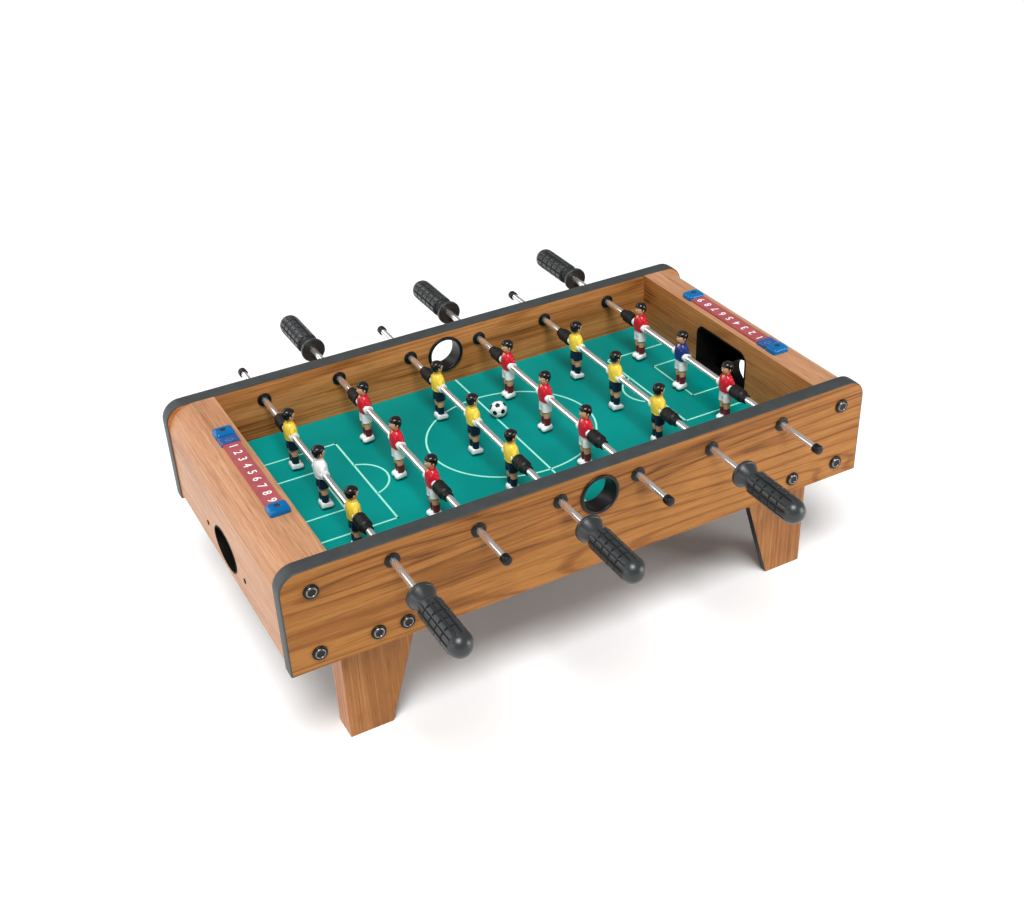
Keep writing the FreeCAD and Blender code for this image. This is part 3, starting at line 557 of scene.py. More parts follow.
def dress_boards():
    paint_node("playfield", FIELD)
    paint_faces("playfield", HARDBOARD, Z, INWARD)
    for end in FRONT_REAR:
        paint_node(f"{end}_side_panel", PANEL)
        # The inward faces take the lighter copy of the panel wood: painted light on the inner
        # walls.
        paint_faces(f"{end}_side_panel", SIDE_INNER_LIT, Y, INWARD)
    for side in LEFT_RIGHT:
        paint_node(f"{side}_end_wall", END_INNER)
        paint_node(f"{side}_end_cover", COVER)
        # The covers' inward cut edges take the end walls' darker wood: painted shade, so they
        # read like the shaded wall below them.
        paint_faces(f"{side}_end_cover", END_INNER, X, INWARD)
        paint_node(f"{side}_goal_box", DULL_BLACK)
        for end in FRONT_REAR:
            paint_node(f"{end}_{side}_leg", LEG)
            # The outward faces take the paler copy of the leg wood: painted light.
            paint_faces(f"{end}_{side}_leg", LEG_SIDE_LIT, X, OUTWARD)
    paint_node("end_corner_blocks", RAW)
    paint_node("leg_nuts", BOLT)
    paint_node("cover_screws", DULL_BLACK)
    paint_node("scorer_screws", BOLT)


TRIM_CORNER = 22.0
# The edging's section: (share of the width, depth below the outermost face).
TRIM_SECTION = [(0.0, 1.5), (0.0, 0.75), (0.02, 0.45), (0.06, 0.22), (0.2, 0.06), (0.5, 0.0),
                (0.8, 0.06), (0.94, 0.22), (0.98, 0.45), (1.0, 0.75), (1.0, 1.5)]
LEG_SLANT = 0.30
LEG_BOARD = 9.0
EDGING_THICK = 0.5
EDGING_INSET = 0.2


def trim_path(low, high, inset):
    """The panel's end, corner, top, corner and end, drawn in by inset, as (x, z)."""
    left = low.x + inset
    right = high.x - inset
    top = high.z - inset
    bend = TRIM_CORNER * MM - inset
    path = [(left, low.z)]
    path += arc_points((left + bend, top - bend), bend, 180, 90, 12)
    path += arc_points((right - bend, top - bend), bend, 90, 0, 12)
    path.append((right, low.z))
    return path


def make_edge_trim(end):
    """Dark plastic edging with a slightly domed face and soft edges."""
    node = f"{end}_edge_band"
    low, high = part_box(node)
    width = high.y - low.y
    lines = [trim_path(low, high, depth * MM) for _, depth in TRIM_SECTION]
    rings = []
    for station in zip(*lines):
        rings.append([(x / MM, (low.y + share * width) / MM, z / MM)
                      for (share, _), (x, z) in zip(TRIM_SECTION, station)])
    put(f"{end}_edge_trim", Shells().loft(rings).mesh(), "table", [TRIM], [node])


def make_leg_edging(end, side):
    """Black edging on the slanted edge of a leg's face board."""
    low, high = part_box(f"{end}_{side}_leg")
    sign_x = -1 if side == "left" else 1
    sign_y = -1 if end == "front" else 1
    height = high.z / MM
    top = (high.x if side == "left" else low.x) / MM
    foot = top + sign_x * LEG_SLANT * height
    outer = (low.y if end == "front" else high.y) / MM
    inner = outer - sign_y * LEG_BOARD
    inset = sign_y * EDGING_INSET
    rings = []
    for x, z in ((foot, EDGING_INSET), (top, height - EDGING_INSET)):
        out = x - sign_x * EDGING_THICK
        rings.append([(x, outer - inset, z), (out, outer - 2 * inset, z),
                      (out, inner + 2 * inset, z), (x, inner + inset, z)])
    put(f"{end}_{side}_leg_edging", Shells().loft(rings).mesh(), "table", [BLACK])


# -------- field lines

LINE_WIDTH = 2.2
LINE_LIFT = 0.05
LINE_SINK = 0.1
# The print sits a little off the middle of the board.
PRINT_CENTRE = (11.0, 23.5)
AREAS = ((183.7, 85.6), (224.5, 42.1))
CENTRE_OVAL = (100.5, 90.3)
SPOT_RADIUS = 4.2
ARC_CENTRE = 191.8
ARC_RADIUS = 33.8


def ribbon(shells, path, closed=False):
    """A flat printed line through (x, y) points, in millimetres."""
    count = len(path)
    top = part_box("playfield")[1].z / MM
    rings = []
    for index, (x, y) in enumerate(path):
        if closed:
            before, after = path[index - 1], path[(index + 1) % count]
        else:
            before, after = path[max(index - 1, 0)], path[min(index + 1, count - 1)]
        along = Vector((after[0] - before[0], after[1] - before[1])).normalized()
        side = Vector((-along.y, along.x)) * LINE_WIDTH / 2
        low = top - LINE_SINK
        high = top + LINE_LIFT
        rings.append([(x - side.x, y - side.y, low), (x + side.x, y + side.y, low),
                      (x + side.x, y + side.y, high), (x - side.x, y - side.y, high)])
    shells.loft(rings, closed=closed)


def make_field_lines():
    """The pitch markings: halfway line, centre oval and spot, two areas and an arc each."""
    middle_x, middle_y = PRINT_CENTRE
    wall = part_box("right_end_wall")[0].x / MM
    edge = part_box("front_side_panel")[1].y / MM
    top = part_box("playfield")[1].z / MM
    shells = Shells()
    ribbon(shells, [(middle_x, edge), (middle_x, -edge)])
    ring = [(middle_x + CENTRE_OVAL[0] * x, middle_y + CENTRE_OVAL[1] * y)
            for x, y in arc_points((0, 0), 1.0, 0, 357, 119)]
    ribbon(shells, ring, closed=True)
    shells.loft([oval(middle_x, middle_y, z, SPOT_RADIUS, SPOT_RADIUS)
                 for z in (top - LINE_SINK, top + LINE_LIFT)])
    for sign in (-1, 1):
        for inner, half in AREAS:
            x = middle_x + sign * inner
            for y in (middle_y - half, middle_y + half):
                ribbon(shells, [(sign * wall, y), (x - sign * LINE_WIDTH / 2, y)])
            ribbon(shells, [(x, middle_y - half - LINE_WIDTH / 2),
                            (x, middle_y + half + LINE_WIDTH / 2)])
        opening = math.degrees(math.acos((ARC_CENTRE - AREAS[0][0]) / ARC_RADIUS))
        towards = 180 if sign > 0 else 0
        ribbon(shells, arc_points((middle_x + sign * ARC_CENTRE, middle_y), ARC_RADIUS,
                                  towards - opening, towards + opening, 24))
    put("field_lines", shells.mesh(), "table", [LINE])


# -------- bushes, rings, bolts

LEG_BOLTS_X = (252.8, 221.6)
LEG_BOLTS_Z = 138.7
# How far the lower end bolts sit above the legs' bolts.
END_BOLT_RISE = 0.9
CUP_RADIUS = 8.0
CROSS_LONG = 2.9
CROSS_WIDE = 0.8


def wall_faces():
    """The y of the outer and inner face of the rear side panel, in metres."""
    low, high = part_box("rear_side_panel")
    return high.y, low.y


def both_sides(x, z):
    """Places for a piece made about the Y axis with its flange towards +Y: all four faces."""
    outer, inner = wall_faces()
    return [
        Matrix.Translation((x, outer, z)),
        Matrix.Translation((x, inner, z)) @ HALF_TURN,
        Matrix.Translation((x, -outer, z)) @ HALF_TURN,
        Matrix.Translation((x, -inner, z)),
    ]


def make_bushes():
    """Half bushes with a rounded flange and a low boss round the rod."""
    profile = [(BORE, -9), (6.35, -9), (6.35, 0), (8.05, 0), (8.25, 0.35), (8.22, 1.1),
               (7.9, 1.6), (7.2, 1.85), (6, 1.9), (5.6, 2.1), (5.45, 2.45), (4.3, 2.5),
               (BORE, 2.2)]
    half = Shells().lathe(profile, count=40, closed=True).mesh()
    rods = [middle_of(f"rod_{number}") for number in RODS]
    places = [place for rod in rods for place in both_sides(rod.x, rod.z)]
    put("rod_bushes", copies(half, places), "table", [BLACK], ["rod_bushings"])


def make_drop_rings():
    """The two-part rings of the ball drops, with a rolled lip."""
    centre = middle_of("ball_drop_rings")
    profile = [(19, -9), (20.45, -9), (20.45, 0), (22.7, 0), (23, 0.4), (22.95, 1.2),
               (22.5, 1.9), (21.6, 2.4), (20.6, 2.5), (19.7, 2.3), (19.15, 1.7), (19, 0.9)]
    half = Shells().lathe(profile, count=96, closed=True).mesh()
    put("drop_rings", copies(half, both_sides(centre.x, centre.z)), "table",
        [BLACK], ["ball_drop_rings"])


def bolt_places():
    """Places of the bolts on the outer face of both panels, flange towards the outside."""
    low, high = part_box("bolt_cups")
    outer, _ = wall_faces()
    radius = CUP_RADIUS * MM
    spots = [(sign * (high.x - radius), z) for sign in (1, -1)
             for z in (high.z - radius, low.z + radius + END_BOLT_RISE * MM)]
    spots += [(sign * x * MM, LEG_BOLTS_Z * MM) for sign in (1, -1) for x in LEG_BOLTS_X]
    rear = [Matrix.Translation((x, outer, z)) for x, z in spots]
    return rear + [HALF_TURN @ place for place in rear]


def socket_mesh():
    """The sunk middle of a bolt's head, with a cross recess that narrows inward."""
    core = Shells().lathe([(TIP, 0.85), (4, 0.85), (4, 2.6), (3.1, 2.5), (TIP, 2.45)])
    cross = Shells()
    for wide, tall in ((CROSS_LONG, CROSS_WIDE), (CROSS_WIDE, CROSS_LONG)):
        cross.loft([[(x * wide * share, y, z * tall * share) for x, z in SQUARE]
                    for y, share in ((1.3, 0.6), (3.2, 1))])
    return cut_out(core.mesh(), cross.mesh())


def make_bolts():
    """Black cup washers round steel-rimmed bolt heads whose sunk middle, with its cross recess,
    is painted black as shade.
    """
    places = bolt_places()
    cup = [(3.2, 0.05), (7.8, 0.05), (CUP_RADIUS, 0.4), (7.95, 1.3), (7.6, 2), (7, 2.38),
           (6.5, 2.4), (6.25, 2.1), (6.2, 0.85), (3.2, 0.8)]
    cup_mesh = Shells().lathe(cup, closed=True).mesh()
    put("cup_washers", copies(cup_mesh, places), "table", [BLACK], ["bolt_cups"])
    ring = [(3.9, 0.85), (5.7, 0.85), (6, 1.1), (6, 2), (5.85, 2.5), (5.5, 2.95),
            (5.05, 3.3), (4.7, 3.4), (4.35, 3.25), (4.1, 2.8), (3.95, 2.5)]
    ring_mesh = Shells().lathe(ring, closed=True).mesh()
    put("bolt_rings", copies(ring_mesh, places), "table", [BOLT], ["panel_bolts"])
    # The sunk middle of each steel head is black plastic: painted shade in the recess.
    put("bolt_sockets_painted_shade", copies(socket_mesh(), places), "table", [BLACK],
        ["panel_bolts"])


# -------- rods, stops, handles

STOP_LENGTH = 25.0
ROD_EDGE = 0.3


def make_rod(number):
    """A steel tube with eased ends."""
    low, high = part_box(f"rod_{number}")
    start = low.y / MM
    end = high.y / MM
    profile = [(TIP, start), (ROD_RADIUS - ROD_EDGE, start), (ROD_RADIUS, start + ROD_EDGE),
               (ROD_RADIUS, end - ROD_EDGE), (ROD_RADIUS - ROD_EDGE, end), (TIP, end)]
    centre = middle_of(f"rod_{number}")
    put(f"rod_tube_{number}", Shells().lathe(profile, count=40).mesh(), f"rod_{number}_set",
        [CHROME], [f"rod_{number}"], Matrix.Translation((centre.x, 0, centre.z)))


def outward(number, start_y):
    """A place on a rod, facing away from the table at the handle's end."""
    centre = middle_of(f"rod_{number}")
    place = Matrix.Translation((centre.x, start_y, centre.z))
    return place @ HALF_TURN if odd(number) else place


# Places along the handle are measured from its end by the table.
HANDLE_LENGTH = 92.0
BELL_START = 4.7
BELL_END = 17.0
BELL_RADIUS = 13.8
BELL_CURVE = 1.35
NECK_RADIUS = 9.0
GRIP_START = 20.5
GRIP_RADIUS = 13.2
GROOVES = 12
GROOVE_DEPTH = 2.4
GROOVES_FROM = 19.5
GRIP_FULL = 23.5
GROOVES_TO = 79.8
CROSS_GROOVES = 4
CROSS_DEPTH = 2.0
CROSS_HALF = 1.2


def grip_rows():
    """Stations along the grip with (y, lengthwise groove share, cross groove share)."""
    step = (GROOVES_TO - GROOVES_FROM) / (CROSS_GROOVES + 1)
    rows = [(21.6, 1, 0), (GRIP_FULL, 1, 0)]
    last = GRIP_FULL
    for number in range(1, CROSS_GROOVES + 1):
        place = GROOVES_FROM + step * number
        gap = place - CROSS_HALF - last
        rows += [(last + gap * share, 1, 0) for share in (0.33, 0.67)]
        rows += [(place - CROSS_HALF, 1, 0), (place - 0.95, 1, 0.3), (place - 0.75, 1, 1),
                 (place + 0.75, 1, 1), (place + 0.95, 1, 0.3), (place + CROSS_HALF, 1, 0)]
        last = place + CROSS_HALF
    rows += [(GROOVES_TO - 8, 1, 0), (GROOVES_TO - 4, 1, 0), (GROOVES_TO - 2.2, 0.95, 0),
             (GROOVES_TO - 1.1, 0.7, 0)]
    return rows


def groove_shape():
    """One rib and groove round the grip: (share of the pitch, depth share)."""
    half = [(0, 0), (0.13, 0), (0.26, 0), (0.315, 0.05), (0.34, 0.2), (0.355, 0.75),
            (0.375, 0.95), (0.42, 1), (0.47, 1)]
    return half + [(1 - share, depth) for share, depth in reversed(half[1:])]


def handle_mesh():
    """Bell collar, neck and ribbed grip about the Y axis, from y = 0 at the rod's side."""
    cell = groove_shape()
    angles = [((number + share) / GROOVES * 2 * math.pi, depth)
              for number in range(GROOVES) for share, depth in cell]

    def ring(y, radius, along=0, across=0):
        points = []
        for angle, depth in angles:
            r = radius - max(along * depth * GROOVE_DEPTH, across * CROSS_DEPTH)
            points.append((r * math.cos(angle), y, r * math.sin(angle)))
        return points

    collar = [(3, BORE), (0.9, BORE), (0.6, 4.4), (0.6, 9), (0.35, 12.6), (0, 13.6),
              (0.05, 14.3), (0.4, 14.8), (1, 15), (3.5, 15), (4.15, 14.85), (4.5, 14.4),
              (BELL_START, BELL_RADIUS)]
    rings = [ring(y, radius) for y, radius in collar]
    for step in range(1, 11):
        share = step / 10
        rings.append(ring(BELL_START + (BELL_END - BELL_START) * share,
                          NECK_RADIUS + (BELL_RADIUS - NECK_RADIUS) * (1 - share) ** BELL_CURVE))
    rings += [ring(18.6, 8.8), ring(19.9, 8.9), ring(GRIP_START, 9.4), ring(GRIP_START, 10.6),
              ring(20.6, 11.6, 0.35), ring(20.9, 12.6, 0.8)]
    rings += [ring(y, GRIP_RADIUS, along, across) for y, along, across in grip_rows()]
    # The grooves run out on the first rings of the domed end.
    for step in range(12):
        angle = math.radians(4.4 + step * 84 / 11)
        rings.append(ring(HANDLE_LENGTH - GRIP_RADIUS * (1 - math.sin(angle)),
                          GRIP_RADIUS * math.cos(angle), {0: 0.35, 1: 0.1}.get(step, 0)))
    return Shells().loft(rings).mesh()


def make_handles():
    mesh = handle_mesh()
    for number in RODS:
        low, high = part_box(f"handle_{number}")
        start = high.y if odd(number) else low.y
        put(f"handle_grip_{number}", mesh, f"rod_{number}_set", [GRIP],
            [f"handle_{number}"], outward(number, start))


def make_rod_caps():
    """Black end caps with a rolled rim and a rounded end."""
    profile = [(BORE, 4), (BORE, 0.2), (4.2, 0), (4.8, 0), (5.15, 0.35), (5.2, 0.9),
               (5.2, 6.6), (5, 7.7), (4.3, 8.5), (3.2, 8.9), (TIP, 9)]
    mesh = Shells().lathe(profile, count=40).mesh()
    for number in RODS:
        low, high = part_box(f"rod_cap_{number}")
        start = low.y if odd(number) else high.y
        put(f"rod_end_cap_{number}", mesh, f"rod_{number}_set", [BLACK],
            [f"rod_cap_{number}"], outward(number, start) @ HALF_TURN)


def make_stops():
    """Rubber stops: a grooved body by the player and a neck towards the wall."""
    body = [(BORE, 0), (6.6, 0), (7.3, 0.35), (7.5, 1), (7.5, 5.2), (7.2, 5.6), (7.2, 6.2),
            (7.5, 6.6), (7.5, 11.4), (7.2, 11.8), (7.2, 12.4), (7.5, 12.8), (7.5, 16.6),
            (7.2, 17.4), (6.2, 18.3), (5.7, 19.2), (5.5, 20.2), (5.5, 24.2), (5.2, 24.8),
            (4.6, STOP_LENGTH), (BORE, STOP_LENGTH)]
    mesh = Shells().lathe(body, count=44, closed=True).mesh()
    for number in RODS:
        node = f"bumpers_{number}"
        low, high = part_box(node)
        start = Matrix.Translation((0, (high.y - low.y) / 2 - STOP_LENGTH * MM, 0))
        put(f"rod_stops_{number}", copies(mesh, [start, HALF_TURN @ start]),
            f"rod_{number}_stops", [RUBBER], [node],
            Matrix.Translation(middle_of(node)))


# -------- players

# Material numbers on a player's mesh; the boots' white also paints the hands, hub and eyes.
SHIRT, SHORTS, SOCKS, BARE, BOOTS, CROWN, DARK, MOUTH = range(8)
HUB_HALF = 13.0


def folded(ring, z):
    """A ring of a shirt with soft folds that run down and round it."""
    points = []
    for x, y, height in ring:
        angle = math.atan2(y, x)
        fold = 0.012 * math.sin(5 * angle + 0.55 * z) + 0.008 * math.sin(9 * angle - 0.9 * z)
        points.append((x * (1 + fold), y * (1 + fold), height))
    return points


def torso(shells, neck):
    """A barrel-shaped shirt with sloping shoulders, a hem, and a round or V neck."""
    sections = [(-6.6, 5.6, 7.4), (-6.3, 6.5, 8.3), (-5.8, 6.9, 8.8), (-5.2, 6.7, 8.7),
                (-4, 6.9, 9.1), (-2.2, 7.15, 9.4), (-0.5, 7.2, 9.6), (1.2, 7.2, 9.6),
                (3, 7.15, 9.5), (4.8, 7, 9.4), (6.5, 6.8, 9.3), (8, 6.5, 9),
                (9.2, 6.1, 8.7), (11.2, 5.3, 7.8), (12.8, 4.5, 6.4), (13.9, 3.8, 4.8),
                (14.6, 3.4, 3.8)]
    rings = [folded(oval(0, 0, z, deep, wide, 2.5, 72), z) for z, deep, wide in sections]
    shells.loft(rings, SHIRT)
    collar = [(14, 3.9), (14.5, 4.5), (15.2, 4.5), (15.4, 3.9)]
    shells.loft([oval(0, 0, z, r, r + 0.3, 2, 32) for z, r in collar], SHIRT)
    if neck == "v":
        patch = [(4.2, 14.9, 2.5), (5.1, 13.4, 1.9), (5.75, 12, 1.2), (6.15, 10.6, 0.25)]
        rings = [[(x - 1.2, -half, z), (x - 1.2, half, z), (x, half * 0.8, z), (x + 0.25, 0, z),
                  (x, -half * 0.8, z)] for x, z, half in patch]
        shells.loft(rings, BARE)


def arm(shells, side):
    """A short sleeve, a forearm and a fist that closes round the rod."""
    shoulder = (0, side * 8.2, 9.2)
    elbow = (-1.6, side * 10.3, 3.6)
    wrist = (0.6, side * 10.9, 0.4)
    middle = (-0.9, side * 9.6, 6.4)
    shells.tube([shoulder, middle, elbow, (-0.6, side * 10.7, 1.8)], [2.2, 3.1, 2.9, 2.6], SHIRT)
    shells.tube([elbow, wrist, (1.4, side * 11, -1)], [2.2, 2.2, 2], BARE)
    shells.ellipsoid((1.2, side * 11, -1.6), (3.6, 1.7, 3.4), BOOTS, 20, 12)


def hub(shells):
    """The white boss that the rod passes through."""
    edge = HUB_HALF - 0.3
    profile = [(BORE, -HUB_HALF), (4.9, -HUB_HALF), (5.2, -edge), (5.2, edge), (4.9, HUB_HALF),
               (BORE, HUB_HALF)]
    shells.lathe(profile, BOOTS, 36, closed=True)


def lower_body(shells):
    """Shorts, bare knees and socks; each leg is its own shell."""
    waist = [(-5.2, 5.6, 7.2), (-8, 6, 7.7), (-11, 6, 7.8), (-13.5, 5.6, 7.4)]
    shells.loft([oval(0, 0, z, deep, wide, 2.6, 32) for z, deep, wide in waist], SHORTS)
    for side in (-1, 1):
        y = side * 3.7
        cloth = [(-11, 5.6, 3.9), (-14, 5.7, 4.1), (-17.6, 5.8, 4.2), (-19.2, 5.9, 4.3),
                 (-19.4, 5.4, 3.9)]
        shells.loft([oval(0, y, z, deep, wide, 2.4, 28) for z, deep, wide in cloth], SHORTS)
        knee = [(-17, 3.9, 3.1), (-20.5, 4, 3.1), (-23.4, 4.3, 3.2), (-24.8, 4.4, 3.2),
                (-26.4, 4, 3), (-30, 3.5, 2.7)]
        shells.loft([oval(0.1, side * 3.4, z, deep, wide, 2.2, 24) for z, deep, wide in knee],
                    BARE)
        sock = [(-28.4, 3.6, 2.9), (-28.5, 4.2, 3.4), (-29.8, 4.3, 3.5), (-30.3, 4, 3.2),
                (-33, 4.3, 3.3), (-36, 3.9, 3.1), (-39.5, 3.5, 3), (-41, 3.5, 3)]
        shells.loft([oval(-0.3, side * 3.3, z, deep, wide, 2.2, 28) for z, deep, wide in sock],
                    SOCKS)


def boot(shells, side):
    """A blunt boot that turns outward a little, from heel to toe along X."""
    stations = [(-5.9, 2.5, 2.9, -40, -44.3), (-5.5, 2.6, 3.3, -38.6, -44.8),
                (-4, 2.8, 3.6, -37.4, -44.9), (-1.5, 3.1, 3.7, -37, -44.9),
                (0.8, 3.4, 3.8, -37.6, -44.9), (3, 3.6, 3.8, -38.6, -44.9),
                (5, 3.7, 3.7, -39.4, -44.9), (6.6, 3.8, 3.3, -40, -44.7),
                (7.5, 3.8, 2.5, -40.8, -44), (7.9, 3.8, 1.4, -41.6, -43.2)]
    rings = []
    for x, y, half, top, bottom in stations:
        middle = (top + bottom) / 2
        tall = (top - bottom) / 2
        level = oval(side * y, middle, 0, half, tall, 3.4, 28)
        rings.append([(x, a, b) for a, b, _ in level])
    shells.loft(rings, BOOTS)


def head(shells):
    """A round head with a calm, plain face, ears and short hair."""
    shells.tube([(0, 0, 13.2), (0.1, 0, 15.4), (0.3, 0, 18)], [3.3, 3.1, 3.2], BARE)
    skull = [(16, 1.6, 1.5, 1.9), (16.5, 1.3, 3, 3.1), (17.8, 1, 4.4, 4.2),
             (19.6, 0.8, 5.2, 5), (21.8, 0.5, 5.8, 5.5), (24, 0.2, 6.1, 5.7),
             (26, -0.1, 5.9, 5.5), (27.8, -0.4, 5.1, 4.8), (29.1, -0.6, 3.6, 3.4),
             (29.7, -0.6, 1.6, 1.5)]
    shells.loft([oval(x, 0, z, deep, wide, 2.1, 32) for z, x, deep, wide in skull], BARE)
    shells.ellipsoid((6.3, 0, 21.4), (1.25, 0.85, 1.25), BARE, 16, 10)
    for side in (-1, 1):
        shells.ellipsoid((0, side * 5.6, 21.8), (1.1, 0.75, 1.7), BARE, 16, 10)
        shells.ellipsoid((5.75, side * 2, 23.1), (0.55, 0.85, 0.55), BOOTS, 14, 8)
        shells.ellipsoid((6.15, side * 1.95, 23.1), (0.32, 0.42, 0.45), DARK, 12, 8)
        shells.tube([(5.75, side * 1.1, 24.35), (5.8, side * 2, 24.6), (5.2, side * 3, 24.3)],
                    [0.22, 0.32, 0.2], CROWN, 10)
    shells.tube([(5.55, -1.4, 18.9), (6, 0, 18.7), (5.55, 1.4, 18.9)], [0.2, 0.36, 0.2],
                MOUTH, 10)
    hair(shells)


def hair(shells):
    """Short swept hair: a cap behind the face, a low fringe and sideburns."""
    cap = [(17.4, -2.2, 1.8, 3.2), (18.6, -2.1, 3.6, 4.9), (20.6, -1.8, 4.6, 5.9),
           (23, -1.4, 5.6, 6.3), (25.2, -0.7, 6.4, 6.4), (27.2, -0.4, 6.4, 6),
           (28.8, -0.3, 5.4, 5), (29.8, -0.3, 3.6, 3.3), (30.2, -0.3, 1.4, 1.3)]
    shells.loft([oval(x, 0, z, deep, wide, 2.1, 32) for z, x, deep, wide in cap], CROWN)
    for side in (-1, 1):
        shells.ellipsoid((1.3, side * 5.35, 23.2), (1.2, 0.6, 2.2), CROWN, 14, 10)
    shells.tube([(5.2, -3.2, 26.1), (5.9, -1, 26.6), (5.9, 1.4, 26.7), (5, 3.4, 26.2)],
                [0.9, 1.1, 1.1, 0.8], CROWN, 14)


def player_mesh(colours, neck="round"):
    """A player in millimetres: faces +X, with the rod along Y through the origin."""
    shells = Shells()
    torso(shells, neck)
    hub(shells)
    lower_body(shells)
    head(shells)
    for side in (-1, 1):
        arm(shells, side)
        boot(shells, side)
    mesh = shells.mesh()
    for material in colours:
        mesh.materials.append(material)
    return mesh


def kit(shirt, shorts, socks):
    """A player's materials, in the order of the material numbers."""
    return [shirt, shorts, socks, SKIN, WHITE_PLASTIC, HAIR, EYE, LIP]


def make_players():
    meshes = {
        "yellow": player_mesh(kit(YELLOW, NAVY, NAVY)),
        "white": player_mesh(kit(WHITE_PLASTIC, NAVY, NAVY)),
        "red": player_mesh(kit(RED, WHITE_PLASTIC, MAROON), "v"),
        "blue": player_mesh(kit(ROYAL, WHITE_PLASTIC, MAROON), "v"),
    }
    for number in RODS:
        low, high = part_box(f"players_{number}")
        pitch = (high.y - low.y) / 2 - HUB_HALF * MM
        middle = (low.y + high.y) / 2
        rod = middle_of(f"rod_{number}")
        team = "yellow" if odd(number) else "red"
        keeper = {1: "white", 6: "blue"}.get(number, team)
        facing = Matrix() if odd(number) else HALF_TURN
        for step, look in ((-1, team), (0, keeper), (1, team)):
            place = Matrix.Translation((rod.x, middle + step * pitch, rod.z)) @ facing
            put(f"player_{number}_{step + 2}", meshes[look], f"rod_{number}_set",
                [], [f"players_{number}"], place)


# -------- ball

PATCH_STEPS = 7
SEAM_DEPTH = 0.035


def ball_patches():
    """The 12 pentagons and 20 hexagons of a football, as corner lists with a black flag."""
    work = bmesh.new()
    bmesh.ops.create_icosphere(work, subdivisions=1, radius=1.0)
    patches = []
    for vert in work.verts:
        around = [vert.co.lerp(edge.other_vert(vert).co, 1 / 3) for edge in vert.link_edges]
        patches.append((sorted_round(around, vert.co), True))
    for face in work.faces:
        corners = []
        for loop in face.loops:
            here = loop.vert.co
            after = loop.link_loop_next.vert.co
            corners += [here.lerp(after, 1 / 3), here.lerp(after, 2 / 3)]
        patches.append((corners, False))
    work.free()
    return patches


def sorted_round(points, axis):
    """The points in order round an axis."""
    first = (points[0] - axis).normalized()
    side = axis.normalized().cross(first)
    return sorted(points, key=lambda p: math.atan2((p - axis).dot(side), (p - axis).dot(first)))


def make_ball():
    """A football whose patches are domed and dip at the seams."""
    low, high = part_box("ball")
    radius = (high.z - low.z) / 2 / MM
    shells = Shells()
    faces = []
    for i in range(PATCH_STEPS):
        row = i * (i + 1) // 2
        below = (i + 1) * (i + 2) // 2
        for j in range(i + 1):
            faces.append([row + j, below + j, below + j + 1])
            if j < i:
                faces.append([row + j, below + j + 1, row + j + 1])
    for corners, black in ball_patches():
        middle = sum(corners, Vector()) / len(corners)
        for a, b in zip(corners, corners[1:] + corners[:1]):
            verts = []
            for i in range(PATCH_STEPS + 1):
                share = i / PATCH_STEPS
                for j in range(i + 1):
                    edge = a.lerp(b, j / i) if i else a
                    point = middle.lerp(edge, share).normalized()
                    verts.append(point * radius * (1 - SEAM_DEPTH * share ** 10))
            shells.add(verts, faces, 1 if black else 0)
    turn = Matrix.Rotation(math.radians(24), 4, "X") @ Matrix.Rotation(math.radians(-18), 4, "Y")
    put("football", shells.mesh(), "ball", [WHITE_PLASTIC, BLACK], ["ball"],
        Matrix.Translation(middle_of("ball")) @ turn)


# -------- scorers

DIGIT_SIZE = 13.0
DIGIT_LIFT = 0.06
DIGIT_WEIGHT = 0.12
LAST_NUMBER = 9
CAP_HALF_X = 11.0
CAP_HALF_Y = 9.0
SADDLE_GAP = 0.3


def digit_mesh(text):
    """One number as a thin raised print, lying flat, centred on the origin."""
    curve = bpy.data.curves.new("digit", "FONT")
    curve.body = text
    curve.size = DIGIT_SIZE * MM
    curve.extrude = DIGIT_LIFT * MM
    curve.offset = DIGIT_WEIGHT * MM
    curve.align_x = "CENTER"
    curve.align_y = "CENTER"
    holder = bpy.data.objects.new("digit", curve)
    bpy.context.scene.collection.objects.link(holder)
    graph = bpy.context.evaluated_depsgraph_get()
    mesh = bpy.data.meshes.new_from_object(holder.evaluated_get(graph))
    bpy.data.objects.remove(holder)
    tidy(mesh)
    return mesh


def make_numbers(side):
    """0 to 9 along a rail; 0 is under the slider at rest and 9 at the end of its travel."""
    rail_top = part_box(f"{side}_scorer_strip")[1].z
    x = middle_of(f"{side}_scorer_strip").x
    start = middle_of(f"{side}_scorer_slider").y
    # Each rail is read from its own end of the table.
    turn = Matrix.Rotation(math.radians(-90 if side == "left" else 90), 4, "Z")
    meshes = []
    for value in range(LAST_NUMBER + 1):
        mesh = digit_mesh(str(value))
        y = start * (1 - 2 * value / LAST_NUMBER)
        mesh.transform(Matrix.Translation((x, y, rail_top)) @ turn)
        meshes.append(mesh)
    put(f"{side}_scorer_numbers", joined(meshes), "table", [PRINT])


def cap_mesh():
    """A loaf-shaped end block with a countersunk hole, standing on z = 0."""
    walls = [(0, 0.1, 7), (0.3, 0, 7), (3.6, 0, 7), (4.8, 0.2, 6.5), (5.8, 0.8, 6),
             (6.5, 1.8, 5.2), (6.85, 3, 4.4), (7, 4.6, 3.4)]
    rings = [oval(0, 0, z, CAP_HALF_X - inset, CAP_HALF_Y - inset, power, 56)
             for z, inset, power in walls]
    hole = [(6.98, 3.7, 3.6), (6.8, 3.3, 3.3), (4.45, 3.05, 3.05)]
    rings += [oval(0, 0, z, radius_x, radius_y, 2, 56) for z, radius_x, radius_y in hole]
    return Shells().loft(rings).mesh()


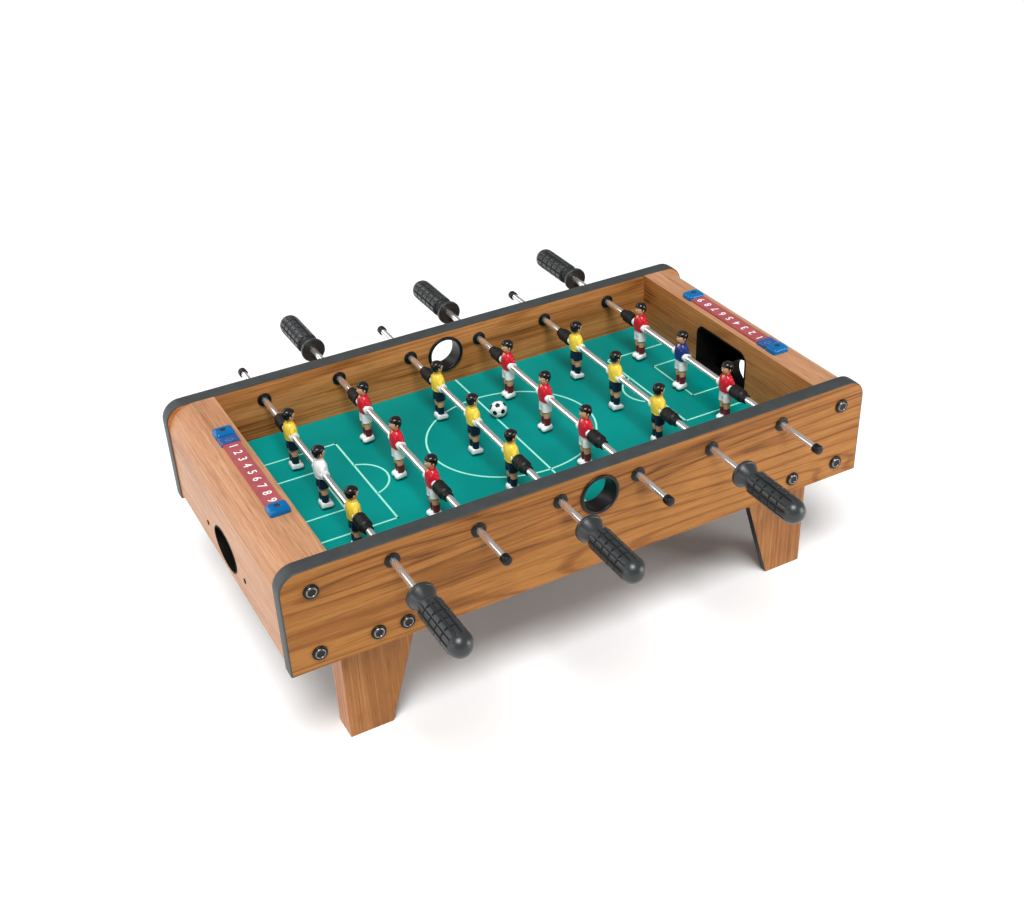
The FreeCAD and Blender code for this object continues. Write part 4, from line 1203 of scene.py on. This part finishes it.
def make_scorer_caps(side):
    node = f"{side}_scorer_caps"
    low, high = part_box(node)
    reach = (high.y - low.y) / 2 - CAP_HALF_Y * MM
    places = [Matrix.Translation((middle_of(node).x, y, low.z)) for y in (-reach, reach)]
    put(f"{side}_scorer_blocks", copies(cap_mesh(), places), "table", [BLUE],
        [node])


def slider_mesh():
    """A clear saddle over the rail, centred on the origin, clear of z = 0 by its gap."""
    half = [(10.7, SADDLE_GAP), (10.7, 3.4), (10.4, 4.4), (9.6, 5.2), (8.2, 5.55), (5, 5.6)]
    outer = [(-x, z) for x, z in half] + [(0, 5.6)] + half[::-1]
    inner = [(9.6, SADDLE_GAP), (9.6, 3.3), (-9.6, 3.3), (-9.6, SADDLE_GAP)]
    rings = []
    for y, inset in ((-7.5, 0.7), (-7.2, 0.25), (-6.6, 0), (6.6, 0), (7.2, 0.25), (7.5, 0.7)):
        soft = [(x * (1 - inset / 12), SADDLE_GAP + (z - SADDLE_GAP) * (1 - inset / 6))
                for x, z in outer]
        rings.append([(x, y, z) for x, z in soft + inner])
    return Shells().loft(rings).mesh()


def make_slider(side):
    node = f"{side}_scorer_slider"
    middle = middle_of(node)
    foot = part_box(node)[0].z - SADDLE_GAP * MM
    put(f"{side}_scorer_saddle", slider_mesh(), f"{side}_slider", [CLEAR_BLUE],
        [node], Matrix.Translation((middle.x, middle.y, foot)))


def dress_scorers():
    for side in LEFT_RIGHT:
        paint_node(f"{side}_scorer_strip", RED_RAIL)
        make_scorer_caps(side)
        make_slider(side)
        make_numbers(side)


# -------- the whole scene

def build():
    make_camera()
    make_lights()
    make_floor()
    dress_boards()
    for end in FRONT_REAR:
        make_edge_trim(end)
    for side in LEFT_RIGHT:
        for end in FRONT_REAR:
            make_leg_edging(end, side)
    make_field_lines()
    make_bushes()
    make_drop_rings()
    make_bolts()
    for number in RODS:
        make_rod(number)
    make_handles()
    make_rod_caps()
    make_stops()
    make_players()
    make_ball()
    dress_scorers()
    scene = bpy.context.scene
    scene.view_settings.view_transform = "Standard"
    scene.view_settings.look = "None"


build()
